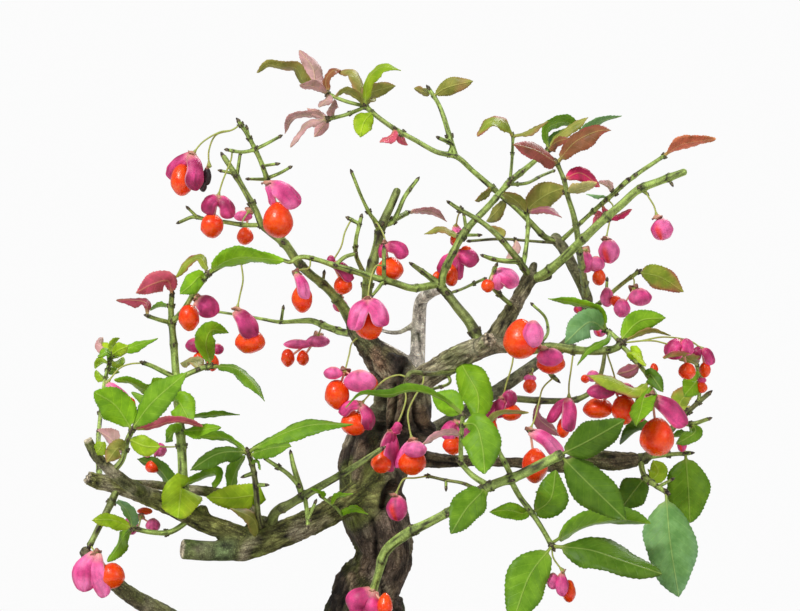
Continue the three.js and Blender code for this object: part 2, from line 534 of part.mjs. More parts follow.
// Each fruit: its stem, depth, stalk, calyx, open valves (tip and seen width),
// closed lobes (middle and size) and arils (middle, size and any step back).
const fruits = [
  ["A", -12, [[232, 130], [220, 132], [204, 141], [198, 147]], [194, 154],
    [[170, 174, 20], [197, 192, 17]], [], [[181, 179, 24, 34]]],
  ["A", -11, [[232, 130], [216, 135], [209, 150]], [209, 166], [[201, 191, 8]], [], []],
  ["A1", -12, [[231, 160], [227, 170], [222, 183]], [218, 197],
    [[203, 212, 15], [232, 218, 13]], [], [[212, 226, 22, 25]]],
  ["Bs", 5, [[243, 220]], [243, 217], [[233, 222, 9], [253, 222, 9]], [[243, 218, 20, 9]],
    [[245, 235, 16, 21]]],
  ["A", -15, [], [267, 183], [[300, 205, 23], [272, 206, 10]], [], [[278, 220, 29, 35]]],
  ["E", -18, [[309, 268], [300, 270]], [298, 276], [[312, 294, 13]], [], [[303, 303, 22, 22]]],
  ["F1a", -9, [[345, 232], [341, 247]], [337, 261], [[353, 280, 12]], [], [[343, 287, 19, 20]]],
  ["B", 9, [], [340, 297], [], [[340, 305, 15, 14]], []],
  ["C2", -15, [], [197, 298], [[213, 318, 22], [190, 304, 10]], [], [[189, 317, 22, 30, -4]]],
  ["C6", -15, [[243, 280], [240, 295]], [237, 309], [[256, 337, 15], [234, 335, 6]], [],
    [[250, 340, 28, 27]]],
  ["C5", 8, [[205, 356]], [207, 346], [], [[195, 345, 20, 15], [218, 349, 12, 11]],
    [[200, 356, 12, 9], [213, 363, 12, 17]]],
  ["D", 23, [], [318, 336], [], [[298, 344, 30, 10], [318, 341, 24, 13]],
    [[288, 358, 13, 18], [303, 358, 12, 16]]],
  ["Eup", -18, [[376, 266], [370, 282]], [369, 299], [[355, 332, 22], [382, 327, 20]], [],
    [[370, 325, 26, 31]]],
  ["H2", -6, [[377, 223], [382, 231], [385, 239]], [385, 245], [[409, 253, 14], [380, 262, 8]],
    [], [[391, 269, 26, 25]]],
  ["trunk", -15, [[352, 343], [349, 355]], [347, 369], [[324, 375, 13], [377, 384, 24]], [],
    [[337, 396, 24, 31], [366, 385, 19, 17, -3]]],
  ["Ra", -16, [[400, 375], [386, 379], [370, 394]], [362, 404], [[338, 416, 10], [368, 430, 12]],
    [], [[353, 423, 22, 26]]],
  ["Ra", -18, [[406, 398], [400, 418]], [392, 432], [[388, 452, 12], [401, 428, 9], [390, 472, 14]],
    [], [[380, 463, 20, 22]]],
  ["Ra", -19, [[423, 383], [414, 398], [408, 413], [409, 426]], [412, 441],
    [[427, 453, 20], [397, 468, 12]], [], [[413, 463, 28, 27]]],
  ["C4", -12, [[130, 364], [120, 368]], [114, 381], [[130, 400, 9], [112, 398, 9]], [],
    [[127, 405, 10, 20]]],
  ["C", -4, [[168, 447]], [157, 446], [[142, 454, 10], [162, 456, 10]], [], [[153, 466, 14, 14]]],
  ["LS", -22, [], [96, 553], [[84, 592, 26], [104, 597, 22], [118, 560, 10]], [],
    [[112, 576, 25, 26]]],
  ["LT", -10, [], [142, 521], [], [[131, 525, 16, 20], [153, 525, 15, 14]], [[145, 512, 15, 8]]],
  ["FB", -31, [], [372, 590], [[352, 612, 24], [374, 624, 22]], [], [[388, 607, 14, 20]]],
  ["FE", -25, [], [457, 424], [[443, 438, 14], [467, 438, 12]], [], [[453, 445, 20, 20]]],
  ["J", 0, [], [455, 253], [[438, 272, 17], [478, 262, 16], [459, 280, 9]], [],
    [[437, 276, 10, 10], [451, 274, 13, 22, 3], [466, 250, 11, 9]]],
  ["K", -13, [[458, 216]], [456, 226], [[457, 247, 10]], [], [[455, 240, 8, 14]]],
  ["N", -11, [], [495, 270], [[499, 290, 11], [518, 285, 16]], [], [[488, 286, 13, 13, -3]]],
  ["X", -22, [], [544, 344], [[539, 320, 18], [530, 356, 16]], [], [[521, 339, 34, 40]]],
  ["X", -17, [], [549, 349], [[565, 353, 16], [540, 366, 14]], [], [[553, 362, 25, 26, -6]]],
  ["R2", 23, [[533, 370]], [531, 375], [], [[530, 378, 13, 8]], [[530, 386, 13, 15]]],
  ["X", -9, [[512, 365], [506, 385]], [503, 398], [[516, 402, 15], [478, 424, 8], [499, 418, 10]],
    [], [[511, 412, 20, 18], [493, 427, 9, 15], [480, 425, 9, 9]]],
  ["X", -14, [[608, 356], [612, 368], [615, 380]], [616, 389],
    [[589, 393, 15], [635, 391, 12], [612, 418, 12]], [],
    [[599, 410, 28, 22, 3], [626, 411, 24, 29, -2]]],
  ["BB", 28, [], [594, 378], [], [[593, 376, 14, 12]], [[585, 379, 9, 9]]],
  ["X3", -9, [], [654, 376], [], [[654, 376, 8, 6]], [[654, 369, 8, 12]]],
  ["X", -13, [[640, 341], [655, 341], [674, 345]], [683, 349],
    [[697, 355, 10], [668, 368, 14]], [], [[688, 370, 18, 18, -2]]],
  ["X", -7, [[640, 341], [664, 337], [690, 341]], [702, 349],
    [[713, 364, 10], [694, 359, 8]], [], [[705, 370, 11, 15]]],
  ["Y3", -2, [], [702, 378], [], [[702, 380, 9, 7]], [[702, 387, 10, 12]]],
  ["X3", -22, [], [652, 396], [[686, 424, 17], [634, 420, 12]], [], [[657, 437, 33, 39]]],
  ["X0", -18, [[543, 388], [539, 402], [535, 418]], [533, 431], [[562, 453, 16], [520, 448, 8]], [],
    [[537, 466, 28, 36]]],
  ["X", -15, [[571, 370], [569, 385]], [569, 398],
    [[548, 423, 8], [566, 440, 12], [582, 414, 8]], [], [[566, 430, 12, 22, -3]]],
  ["V", 13, [], [586, 250], [], [[586, 262, 16, 22], [596, 264, 18, 16]],
    [[599, 277, 13, 17]]],
  ["W", 18, [], [607, 292], [], [[609, 298, 18, 17]], [[618, 302, 10, 12]]],
  ["W", 14, [[634, 280]], [634, 288], [], [[640, 297, 24, 18], [622, 308, 17, 19]], []],
  ["U", -15, [[648, 196], [654, 206]], [657, 217], [], [[662, 229, 23, 23]], []],
  ["P2", 14, [[613, 206], [610, 220]], [606, 239], [], [[609, 251, 22, 25]], []],
  ["FD", -20, [[415, 478], [404, 479], [399, 487]], [395, 496], [], [[397, 508, 22, 26]], []],
  ["FC", -28, [[553, 557], [558, 565]], [563, 570], [[550, 588, 13], [562, 600, 12]], [],
    [[574, 592, 13, 23, -3]]],
  ["Y4", 2, [], [684, 439], [], [[682, 445, 10, 14]], []],
];

const trunk = {
  path: [[367, 885, 0], [366, 820, 0], [362, 790, 1], [358, 750, 3], [356, 710, 4], [358, 660, 3],
    [365, 611, 1], [367, 590, 0], [379, 570, -1], [385, 550, -2], [380, 530, -2], [373, 510, -1],
    [371, 490, 0], [373, 470, 1], [378, 450, 2], [392, 430, 2], [402, 410, 2], [400, 390, 1],
    [390, 370, 1], [374, 352, 1], [360, 335, 0], [352, 322, 0]],
  widths: [130, 150, 120, 100, 88, 82, 79, 66, 56, 54, 60, 66, 62, 70, 70, 64, 60, 56, 44, 30, 24, 18],
  bulge: [[404, 428, 1], [426, 432, 0]],
  bulgeWidths: [44, 24],
  hollow: [384, 413, -9],
  hollowSize: [18, 34], hollowDeep: 4,
};

// Bark: broad ribs that wander round the trunk, and finer ones between them.
function bark(angle, u) {
  const ribs = 0.055 * Math.sin(3 * angle + 7 * u) + 0.035 * Math.sin(5 * angle - 11 * u);
  return 1 + ribs + 0.03 * Math.sin(8 * angle + 23 * u);
}

const stems = { ...limbs, ...twigs };

function pathOf(name) {
  return name === "trunk" ? trunk.path : stems[name][1];
}

// The point of a stem's path that a pixel is nearest to.
function seat(name, [px, py]) {
  const path = pathOf(name);
  let best = null;
  for (let i = 0; i < path.length - 1; i += 1) {
    const [a, b] = [path[i], path[i + 1]];
    const [dx, dy] = [b[0] - a[0], b[1] - a[1]];
    const t = Math.min(Math.max(((px - a[0]) * dx + (py - a[1]) * dy) / (dx * dx + dy * dy), 0), 1);
    const point = [a[0] + t * dx, a[1] + t * dy, a[2] + t * (b[2] - a[2])];
    const gap = Math.hypot(px - point[0], py - point[1]);
    if (!best || gap < best.gap) best = { point, gap };
  }
  return best.point;
}

// A path from its seat on a stem, without a first point that crowds the seat.
function rooted(parent, path) {
  const start = seat(parent, path[0]);
  const rest = path.filter((point, i) => i > 0 || Math.hypot(point[0] - start[0], point[1] - start[1]) > 4);
  return [start, ...rest];
}

function stemPiece(name, grow) {
  const [parent, path, widths] = stems[name];
  const points = rooted(parent, path).map(place);
  const thick = widths[0] > stemSize.thickPixels;
  const real = widths.map((width) => realWidth(width, path[0][2]));
  const wood = name in limbs;
  const sides = thick ? 8 : widths[0] > stemSize.thinPixels ? 5 : 3;
  return stemSolid(points, real, sides, 1, grow, wood && thick ? bark : null);
}

// Where a blade's rows lie along it and how wide they are, for leaves of at least a length.
const leafRows = [
  [13, [0, 0.12, 0.36, 0.62, 0.84, 1], [0, 0.42, 1, 0.86, 0.42, 0]],
  [7.5, [0, 0.18, 0.5, 0.8, 1], [0, 0.62, 1, 0.55, 0]],
  [0, [0, 0.3, 0.72, 1], [0, 0.9, 0.7, 0]],
];

// A leaf's true width follows its length, and the width that is seen gives its turn.
function leafPiece([parent, path, seen, lean], index, grow) {
  const start = seat(parent, path[0]);
  const pixels = [start, ...path.map(([px, py]) => [px, py, start[2]])];
  const last = pixels.length - 1;
  const points = pixels.map(([px, py, depth], i) => place([px, py, depth + lean * (i / last)]));
  const length = new THREE.CatmullRomCurve3(points).getLength();
  const visible = realWidth(seen, start[2]);
  const width = Math.max(visible, length * leafSize.widthToLength);
  const side = index % 2 ? 1 : -1;
  const [stations, profile] = leafRows.find(([least]) => length >= least).slice(1);
  return bladeSolid(points, {
    stations,
    profile,
    width,
    thickness: leafSize.thickness,
    fold: leafSize.fold,
    rolls: stations.map(() => side * Math.acos(visible / width)),
    wave: leafSize.wave,
    grow,
  });
}

// Where a valve's blade runs from the calyx, bowed away from the aril, and how far it is turned.
function valveRun(calyx, [px, py, seen], depth, arils) {
  const [ax, ay] = arils.length ? arils[0] : [px, py + 10];
  const middle = [(calyx[0] + px) / 2, (calyx[1] + py) / 2];
  const away = [middle[0] - ax, middle[1] - ay];
  const far = Math.hypot(...away) || 1;
  const bow = valveSize.bowPixels / far;
  const bowed = [middle[0] + away[0] * bow, middle[1] + away[1] * bow];
  const points = [[...calyx, depth], [...bowed, depth - 1], [px, py, depth]].map(place);
  const visible = Math.min(realWidth(seen, depth), valveSize.width);
  const facing = points[2].clone().sub(points[0]).cross(new THREE.Vector3(0, 1, 0));
  const inward = place([ax, ay, depth]).sub(points[1]).dot(facing) > 0 ? 1 : -1;
  return { points, roll: inward * Math.acos(visible / valveSize.width) };
}

// Two valves are one bent blade through the calyx, and a lone one starts at it.
function valvePieces(calyx, valves, depth, arils, grow) {
  const runs = valves.map((valve) => valveRun(calyx, valve, depth, arils));
  const blades = [];
  if (runs.length > 1) {
    const [first, second] = runs.splice(0, 2);
    const points = [...first.points].reverse().concat(second.points.slice(1));
    const lengths = new THREE.CatmullRomCurve3(points, false, "centripetal").getLengths(200);
    const calyxAt = lengths[100] / lengths[200];
    blades.push([points,
      [0, 0.24, 0.66, 1].map((u) => u * calyxAt)
        .concat([0.34, 0.76, 1].map((u) => calyxAt + (1 - calyxAt) * u)),
      [0, 0.85, 0.95, 0.4, 0.95, 0.85, 0],
      [-first.roll, -first.roll, -first.roll, (second.roll - first.roll) / 2,
        second.roll, second.roll, second.roll]]);
  }
  for (const { points, roll } of runs) {
    blades.push([points, [0, 0.3, 0.76, 1], [0, 0.85, 0.9, 0], [roll, roll, roll, roll]]);
  }
  return blades.map(([points, stations, profile, rolls]) => bladeSolid(points, {
    stations,
    profile,
    width: valveSize.width,
    thickness: valveSize.thickness,
    fold: valveSize.cup,
    rolls,
    wave: 0,
    grow,
  }));
}

function aril([px, py, width, height, back = 0], depth, grow) {
  const centre = place([px, py, depth + back]);
  const sides = width > 20 ? 7 : 5;
  const [across, tall] = [realWidth(width, depth) / 2, realWidth(height, depth) / 2];
  return ball(centre, across + grow, (across + tall) / 2 + grow, tall + grow, sides, 4);
}

function isSmall([, , width, height]) {
  return width * height < arilSize.ownNode;
}

// A stalk as thin as a thread, or nothing where its ends are one place.
function threadPieces(path, grow) {
  const points = path.map(place);
  const reach = points[0].distanceTo(points[points.length - 1]);
  const widths = [stemSize.thread, stemSize.thread];
  return reach > stemSize.shortest ? [stemSolid(points, widths, 3, 1, grow)] : [];
}

function fruitPieces([parent, depth, stalk, calyx, valves, lobes, arils], grow) {
  const start = seat(parent, stalk.length ? stalk[0] : calyx);
  const path = [start];
  stalk.forEach(([px, py], i) => {
    const share = (i + 1) / (stalk.length + 1);
    path.push([px, py, start[2] + (depth - start[2]) * share]);
  });
  path.push([...calyx, depth]);
  const pieces = threadPieces(path, grow);
  pieces.push(...valvePieces(calyx, valves, depth, arils, grow));
  for (const [px, py, width, height] of lobes) {
    const middle = place([px, py, depth]);
    const [across, tall] = [realWidth(width, depth) / 2, realWidth(height, depth) / 2];
    const large = width > 20;
    const deep = Math.min(across, tall);
    pieces.push(ball(middle, across + grow, deep + grow, tall + grow, large ? 8 : 5, large ? 5 : 3));
    pieces.push(...threadPieces([[...calyx, depth], [px, py, depth]], grow));
  }
  for (const each of arils) {
    const middle = [each[0], each[1], depth + (each[4] || 0)];
    if (!valves.length) pieces.push(...threadPieces([[...calyx, depth], middle], grow));
    if (isSmall(each)) {
      if (valves.length) pieces.push(...threadPieces([[...calyx, depth], middle], grow));
      pieces.push(aril(each, depth, grow));
    }
  }
  return pieces;
}

function leafyPieces(names, grow) {
  const pieces = [];
  for (const name of names) if (name !== "trunk") pieces.push(stemPiece(name, grow));
  leaves.forEach((leaf, index) => {
    if (names.includes(leaf[0])) pieces.push(leafPiece(leaf, index, grow));
  });
  for (const fruit of fruits) if (names.includes(fruit[0])) pieces.push(...fruitPieces(fruit, grow));
  return pieces;
}

function trunkPieces(grow) {
  const widths = trunk.widths.map((width) => realWidth(width, 0));
  const pieces = [stemSolid(trunk.path.map(place), widths, 12, 1, grow, bark)];
  const bulge = trunk.bulgeWidths.map((width) => realWidth(width, 0));
  pieces.push(stemSolid(trunk.bulge.map(place), bulge, 6, 1, grow, null));
  const foot = place(trunk.path[1]);
  for (let i = 0; i < rootFlare.count; i += 1) {
    const angle = ((i + 0.3) / rootFlare.count) * 2 * Math.PI;
    const [dx, dy] = [Math.cos(angle), Math.sin(angle)];
    const reach = rootFlare.reach * (0.85 + 0.25 * Math.sin(2.4 * i));
    const path = rootFlare.along.map((u, step) => new THREE.Vector3(
      foot.x + dx * reach * u,
      foot.y + dy * reach * u,
      soil.crown + rootFlare.rises[step],
    ));
    pieces.push(stemSolid(path, rootFlare.widths, 5, 1, grow, null));
  }
  return pieces;
}

const inSprays = Object.values(sprays).flat();
const woodNames = ["trunk", ...Object.keys(stems).filter((name) => !inSprays.includes(name))];
const ownArils = [];
for (const [, depth, , , , , arils] of fruits) {
  for (const each of arils) if (!isSmall(each)) ownArils.push([each, depth]);
}
const arilRoom = joined(ownArils.map(([each, depth]) => aril(each, depth, clearance)));

function hollow() {
  const [px, py, depth] = trunk.hollow;
  const [across, tall] = trunk.hollowSize.map((size) => realWidth(size, depth) / 2);
  return ball(place([px, py, depth]), across, trunk.hollowDeep, tall, 8, 5);
}

const bareWood = joined(trunkPieces(0)).subtract(hollow());
const wood = largest(bareWood.add(joined(leafyPieces(woodNames, 0))).subtract(arilRoom));
const woodRoom = joined([...trunkPieces(clearance), ...leafyPieces(woodNames, clearance)]);

function roundedRectangle(length, width, corner) {
  const [x, y] = [length / 2, width / 2];
  const shape = new THREE.Shape();
  shape.moveTo(x, -y + corner);
  shape.lineTo(x, y - corner);
  shape.absarc(x - corner, y - corner, corner, 0, Math.PI / 2);
  shape.absarc(-x + corner, y - corner, corner, Math.PI / 2, Math.PI);
  shape.absarc(-x + corner, -y + corner, corner, Math.PI, Math.PI * 1.5);
  shape.absarc(x - corner, -y + corner, corner, Math.PI * 1.5, Math.PI * 2);
  return shape;
}

// A block with round corners between two heights, drawn in towards its lower end.
function block(length, width, corner, low, high, taper) {
  const outline = roundedRectangle(length, width, corner);
  const geometry = new THREE.ExtrudeGeometry(outline, {
    depth: high - low, bevelEnabled: false, curveSegments: 3, steps: 1,
  });
  const position = geometry.attributes.position;
  for (let i = 0; i < position.count; i += 1) {
    const scale = position.getZ(i) > 0 ? 1 : taper;
    position.setXYZ(i, position.getX(i) * scale, position.getY(i) * scale, position.getZ(i) + low);
  }
  return solid(geometry);
}

function upright(radius, low, high, x, y) {
  const geometry = new THREE.CylinderGeometry(radius, radius, high - low, 12);
  geometry.rotateX(Math.PI / 2);
  geometry.translate(x, y, (low + high) / 2);
  return solid(geometry);
}

function potSolid() {
  const { length, width, height, wall, floor, corner, foot, taper } = pot;
  const [bodyLength, bodyWidth] = [length - 2 * pot.lipOut, width - 2 * pot.lipOut];
  let body = block(bodyLength, bodyWidth, corner, foot, height - 1, taper);
  body = body.add(block(length, width, corner + pot.lipOut, height - pot.lipHeight, height, pot.lipTaper));
  const inside = block(bodyLength - 2 * wall, bodyWidth - 2 * wall, corner - wall / 2,
    foot + floor, height + 1, taper);
  body = body.subtract(inside);
  for (const sx of [-1, 1]) {
    for (const sy of [-1, 1]) {
      const step = block(pot.footLength, pot.footWidth, pot.footCorner, 0, foot + 1, pot.footTaper);
      const x = sx * (bodyLength * taper / 2 - pot.footLength / 2 - pot.footInset);
      const y = sy * (bodyWidth * taper / 2 - pot.footWidth / 2 - pot.footInset);
      body = body.add(step.translate([x, y, 0]));
    }
    body = body.subtract(upright(pot.drainRadius, -1, foot + floor + 1, sx * pot.drainPlace, 0));
  }
  return body;
}

// The soil fills the pot and rises in a low mound to the trunk's foot. It is a turned profile
// whose rings follow the pot's outline at the edge and draw in to the trunk.
function soilSolid() {
  const { length, width, height, wall, floor, corner, foot, taper, lipOut } = pot;
  const [inLength, inWidth] = [length - 2 * (lipOut + wall), width - 2 * (lipOut + wall)];
  const [low, top] = [foot + floor, height + 1];
  const outline = roundedRectangle(inLength, inWidth, corner - wall / 2).getPoints(3);
  const ring = outline.flatMap((point, i) => {
    const next = outline[(i + 1) % outline.length];
    const stretch = point.distanceTo(next) > 2 * corner ? [point.clone().lerp(next, 0.5)] : [];
    return [point, ...stretch];
  }).filter((point, i, all) => point.distanceTo(all[(i + 1) % all.length]) > 0.1);
  const profile = [[0, 0], [1, 0], [1, 1]];
  for (let row = 1; row <= soil.rows; row += 1) profile.push([1 - row / soil.rows, 1 + row]);
  const geometry = new THREE.LatheGeometry(profile.map((pair) => new THREE.Vector2(...pair)), ring.length);
  const position = geometry.attributes.position;
  const middle = place(trunk.path[1]);
  for (let i = 0; i < position.count; i += 1) {
    const turn = Math.floor(i / profile.length) % ring.length;
    const [radius, row] = profile[i % profile.length];
    const bumps = soil.bumps * Math.sin(5 * turn + 9 * radius) * radius * (1 - radius) * 4;
    const mound = (soil.crown - soil.edge) * Math.cos((radius * Math.PI) / 2);
    const level = row < 1 ? low + clearance : soil.edge + mound + bumps;
    const draft = taper + ((1 - taper) * (Math.min(level, soil.edge) - low)) / (top - low);
    const reach = radius * draft * (1 - (2 * clearance) / inWidth);
    position.setXYZ(
      i,
      ring[turn].x * reach + middle.x * (1 - radius),
      ring[turn].y * reach + middle.y * (1 - radius),
      level,
    );
  }
  return solid(geometry).subtract(woodRoom);
}

const colours = {
  pot: [0x6a4a3a, 0.55],
  soil: [0x4a3a2a, 0.95],
  trunk_and_limbs: [0x6e6455, 0.9],
  spray: [0x7c9a32, 0.5],
  aril: [0xe6451e, 0.35],
};

const bonsai = new THREE.Group();

function addPiece(name, shape, [color, roughness]) {
  const material = new THREE.MeshStandardMaterial({ color, roughness, metalness: 0 });
  const mesh = new THREE.Mesh(plainer(shape, tolerance), material);
  mesh.name = name;
  bonsai.add(mesh);
}

addPiece("pot", potSolid(), colours.pot);
addPiece("soil", largest(soilSolid()), colours.soil);
addPiece("trunk_and_limbs", wood, colours.trunk_and_limbs);
for (const [name, stemNames] of Object.entries(sprays)) {
  const spray = joined(leafyPieces(stemNames, 0)).subtract(woodRoom).subtract(arilRoom);
  addPiece(name, largest(spray), colours.spray);
}
ownArils.forEach(([each, depth], i) => {
  addPiece(`aril_${String(i + 1).padStart(2, "0")}`, aril(each, depth, 0), colours.aril);
});

export default bonsai;
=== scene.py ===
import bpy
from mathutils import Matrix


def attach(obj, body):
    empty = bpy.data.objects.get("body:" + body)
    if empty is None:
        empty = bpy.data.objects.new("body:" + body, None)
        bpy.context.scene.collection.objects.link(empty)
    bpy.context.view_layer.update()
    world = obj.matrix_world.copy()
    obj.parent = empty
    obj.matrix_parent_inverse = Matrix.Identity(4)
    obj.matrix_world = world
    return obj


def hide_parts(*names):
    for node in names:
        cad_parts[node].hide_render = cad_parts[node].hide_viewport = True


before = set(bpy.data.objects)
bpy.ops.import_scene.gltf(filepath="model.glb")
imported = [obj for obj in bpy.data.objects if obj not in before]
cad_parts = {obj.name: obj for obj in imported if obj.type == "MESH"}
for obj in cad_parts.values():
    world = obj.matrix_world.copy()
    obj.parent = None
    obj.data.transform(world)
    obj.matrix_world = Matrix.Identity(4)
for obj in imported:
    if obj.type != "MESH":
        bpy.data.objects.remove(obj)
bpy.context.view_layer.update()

import math
import random

import bpy
import numpy as np
from mathutils import Matrix, Vector, kdtree, noise

bpy.ops.object.select_all(action="DESELECT")


# The photograph's view: the camera stands level with the middle of the crown, 600 mm off.
# A pixel of the photograph and a depth in mm give a place on the tree, in metres.
eye_distance, eye_height, focal_pixels = 600.0, 160.0, 2640.0
middle_across, middle_down = 400.0, 305.5
photo_width, sensor_width = 800, 36.0

bpy.ops.object.camera_add(location=(0, -eye_distance / 1000, eye_height / 1000),
                          rotation=(math.pi / 2, 0, 0))
camera = bpy.context.object
camera.name = "photo_view"
camera.data.sensor_width = sensor_width
camera.data.lens = focal_pixels / photo_width * sensor_width
camera.data.clip_start = 0.01
bpy.context.scene.camera = camera
bpy.context.scene.view_settings.view_transform = "Standard"


def place(across, down, depth):
    reach = (eye_distance + depth) / focal_pixels
    side, up = (across - middle_across) * reach, eye_height - (down - middle_down) * reach
    return np.array((side, depth, up)) / 1000


def real_width(pixels, depth):
    return pixels * (eye_distance + depth) / focal_pixels / 1000


# A colour by its red, green and blue as a painter's 0 to 255, made linear for the shaders.
def paint(red, green, blue):
    return tuple(((c / 255 + 0.055) / 1.055) ** 2.4 for c in (red, green, blue))


def add_to(tree):
    def add(kind, sockets=None, **settings):
        node = tree.nodes.new(kind)
        for key, value in settings.items():
            setattr(node, key, value)
        for key, value in (sockets or {}).items():
            if isinstance(value, bpy.types.NodeSocket):
                tree.links.new(value, node.inputs[key])
            else:
                node.inputs[key].default_value = value
        return node
    return add


def new_finish(name, **constants):
    material = bpy.data.materials.new(name)
    material.use_nodes = True
    shader = material.node_tree.nodes["Principled BSDF"]
    for key, value in constants.items():
        shader.inputs[key.replace("_", " ")].default_value = value

    def feed(socket, source):
        material.node_tree.links.new(source, shader.inputs[socket])
    return material, add_to(material.node_tree), feed


# Two colours blended by a factor: each is a socket, or red, green and blue.
def blend_colours(add, factor, first, second, kind="MIX"):
    pair = [c if isinstance(c, bpy.types.NodeSocket) else (*c, 1) for c in (first, second)]
    return add("ShaderNodeMix", {0: factor, 6: pair[0], 7: pair[1]}, data_type="RGBA",
               blend_type=kind).outputs[2]


def sums(add, operation, first, second=0.5, third=0.5):
    return add("ShaderNodeMath", {0: first, 1: second, 2: third}, operation=operation).outputs[0]


# The studio: a round white table that fades into a white backdrop, one large soft light over
# the left of the camera, a weaker one from the right and one from behind.
table_reach, table_clear, backdrop_white, sky_light = 0.9, 0.3, 0.97, 0.36
card_white, card_bright, light_target = paint(246, 246, 246), paint(250, 250, 250), (0, 0, 0.14)

bpy.ops.mesh.primitive_circle_add(vertices=96, radius=table_reach, fill_type="NGON")
table = bpy.context.object
table.name = "studio_table"


# Leaves the shape in edit mode with only the chosen edges or faces selected, by their corners.
def pick(shape, kind, chosen):
    bpy.ops.object.mode_set(mode="EDIT")
    bpy.ops.mesh.select_mode(type=kind)
    bpy.ops.mesh.select_all(action="DESELECT")
    bpy.ops.object.mode_set(mode="OBJECT")
    for item in shape.data.edges if kind == "EDGE" else shape.data.polygons:
        item.select = chosen([shape.data.vertices[v].co for v in item.vertices])
    bpy.ops.object.mode_set(mode="EDIT")


pick(table, "FACE", lambda corners: True)
bpy.ops.mesh.inset(thickness=table_reach - table_clear)
bpy.ops.object.mode_set(mode="OBJECT")
card, add, feed = new_finish("white_card", Roughness=0.9)
card_grain = add("ShaderNodeTexNoise", {"Scale": 3.0})
feed("Base Color", blend_colours(add, card_grain.outputs["Fac"], card_white, card_bright))
from_middle = add("ShaderNodeVectorMath", {0: add("ShaderNodeTexCoord").outputs["Object"]},
                  operation="LENGTH").outputs["Value"]
feed("Alpha", add("ShaderNodeMapRange", {0: from_middle, 1: table_clear, 2: table_reach * 0.97,
                                         3: 1.0, 4: 0.0},
                  interpolation_type="SMOOTHSTEP").outputs[0])
table.data.materials.append(card)

sky = bpy.data.worlds.new("studio_sky")
bpy.context.scene.world = sky
sky.use_nodes = True
add = add_to(sky.node_tree)
seen_white = add("ShaderNodeMapRange", {0: add("ShaderNodeLightPath").outputs["Is Camera Ray"],
                                        3: sky_light, 4: backdrop_white}).outputs[0]
backdrop = sky.node_tree.nodes["Background"]
backdrop.inputs["Color"].default_value = (1.0, 1.0, 1.0, 1)
sky.node_tree.links.new(seen_white, backdrop.inputs["Strength"])


def soft_light(name, location, size, watts):
    bpy.ops.object.light_add(type="AREA", location=location)
    light = bpy.context.object
    light.name = name
    light.data.shape, light.data.size, light.data.energy = "DISK", size, watts
    away = Vector(location) - Vector(light_target)
    light.rotation_euler = away.to_track_quat("Z", "Y").to_euler()


soft_light("window_light", (-0.9, -1.1, 1.5), 0.6, 28)
soft_light("fill_light", (1.3, -0.9, 0.8), 0.8, 5)
soft_light("rim_light", (0.5, 1.0, 1.1), 0.6, 8)
bpy.ops.object.select_all(action="DESELECT")


# The pot: a rectangular tray of unglazed red-brown stoneware, pressed in a mould, with a rim
# that stands out all round, four feet cut at the corners and two drain holes. It stands free.
pot_length, pot_width, pot_height = 0.180, 0.128, 0.043
pot_wall, pot_floor, foot_height = 0.005, 0.005, 0.005
pot_corner, bottom_draft, inside_draft = 0.011, 0.93, 0.945
rim_height, rim_out = 0.007, 0.003
line_top, line_foot, line_depth = 0.003, 0.004, 0.0006
foot_length, foot_width, foot_inset, foot_root = 0.026, 0.016, 0.002, 0.001
foot_corner, foot_draft = 0.004, 0.92
drain_radius, drain_place, edge_wear = 0.007, 0.042, 0.0009
clay_dark, clay_mid, clay_pale = paint(88, 56, 42), paint(118, 76, 56), paint(158, 120, 94)
lime_tone, lime_reach, lime_share = paint(150, 128, 108), 0.014, 0.5


# Patches and specks that change over a surface, for clay, soil, bark and skins.
def weathering_group():
    group = bpy.data.node_groups.new("weathering", "ShaderNodeTree")
    for label in ("Patch scale", "Speck scale", "Offset"):
        group.interface.new_socket(label, in_out="INPUT", socket_type="NodeSocketFloat")
    for label in ("Patches", "Specks", "Height"):
        group.interface.new_socket(label, in_out="OUTPUT", socket_type="NodeSocketFloat")
    add = add_to(group)
    given = add("NodeGroupInput").outputs
    coords = add("ShaderNodeTexCoord").outputs["Object"]
    moved = add("ShaderNodeVectorMath", {0: coords, 1: given["Offset"]},
                operation="ADD").outputs[0]
    broad = add("ShaderNodeTexNoise",
                {"Vector": moved, "Scale": given["Patch scale"], "Detail": 4.0, "Roughness": 0.6})
    fine = add("ShaderNodeTexNoise",
               {"Vector": moved, "Scale": given["Speck scale"], "Detail": 3.0, "Roughness": 0.7})
    patches = add("ShaderNodeMapRange", {0: broad.outputs["Fac"], 1: 0.36, 2: 0.64}).outputs[0]
    specks = add("ShaderNodeMapRange", {0: fine.outputs["Fac"], 1: 0.52, 2: 0.66}).outputs[0]
    height = sums(add, "ADD", broad.outputs["Fac"], fine.outputs["Fac"])
    result = add("NodeGroupOutput")
    for label, socket in (("Patches", patches), ("Specks", specks), ("Height", height)):
        group.links.new(socket, result.inputs[label])
    return group


weathering = weathering_group()


def weathered(add, patch_size, speck_size, offset=0.0):
    node = add("ShaderNodeGroup")
    node.node_tree = weathering
    node.inputs["Patch scale"].default_value = 1 / patch_size
    node.inputs["Speck scale"].default_value = 1 / speck_size
    node.inputs["Offset"].default_value = offset
    return node.outputs


# How dull a surface is in its dark patches and in its pale ones.
def dulled(add, wear, dark, pale):
    return add("ShaderNodeMapRange", {0: wear["Patches"], 3: dark, 4: pale}).outputs[0]


def bumped(add, height, depth, under=None):
    sockets = {"Height": height, "Distance": depth, "Strength": 1.0}
    if under:
        sockets["Normal"] = under
    return add("ShaderNodeBump", sockets).outputs["Normal"]


def box(middle, size):
    bpy.ops.mesh.primitive_cube_add(size=1, location=middle)
    bpy.context.object.scale = size
    bpy.ops.object.transform_apply(location=True, rotation=True, scale=True)
    return bpy.context.object


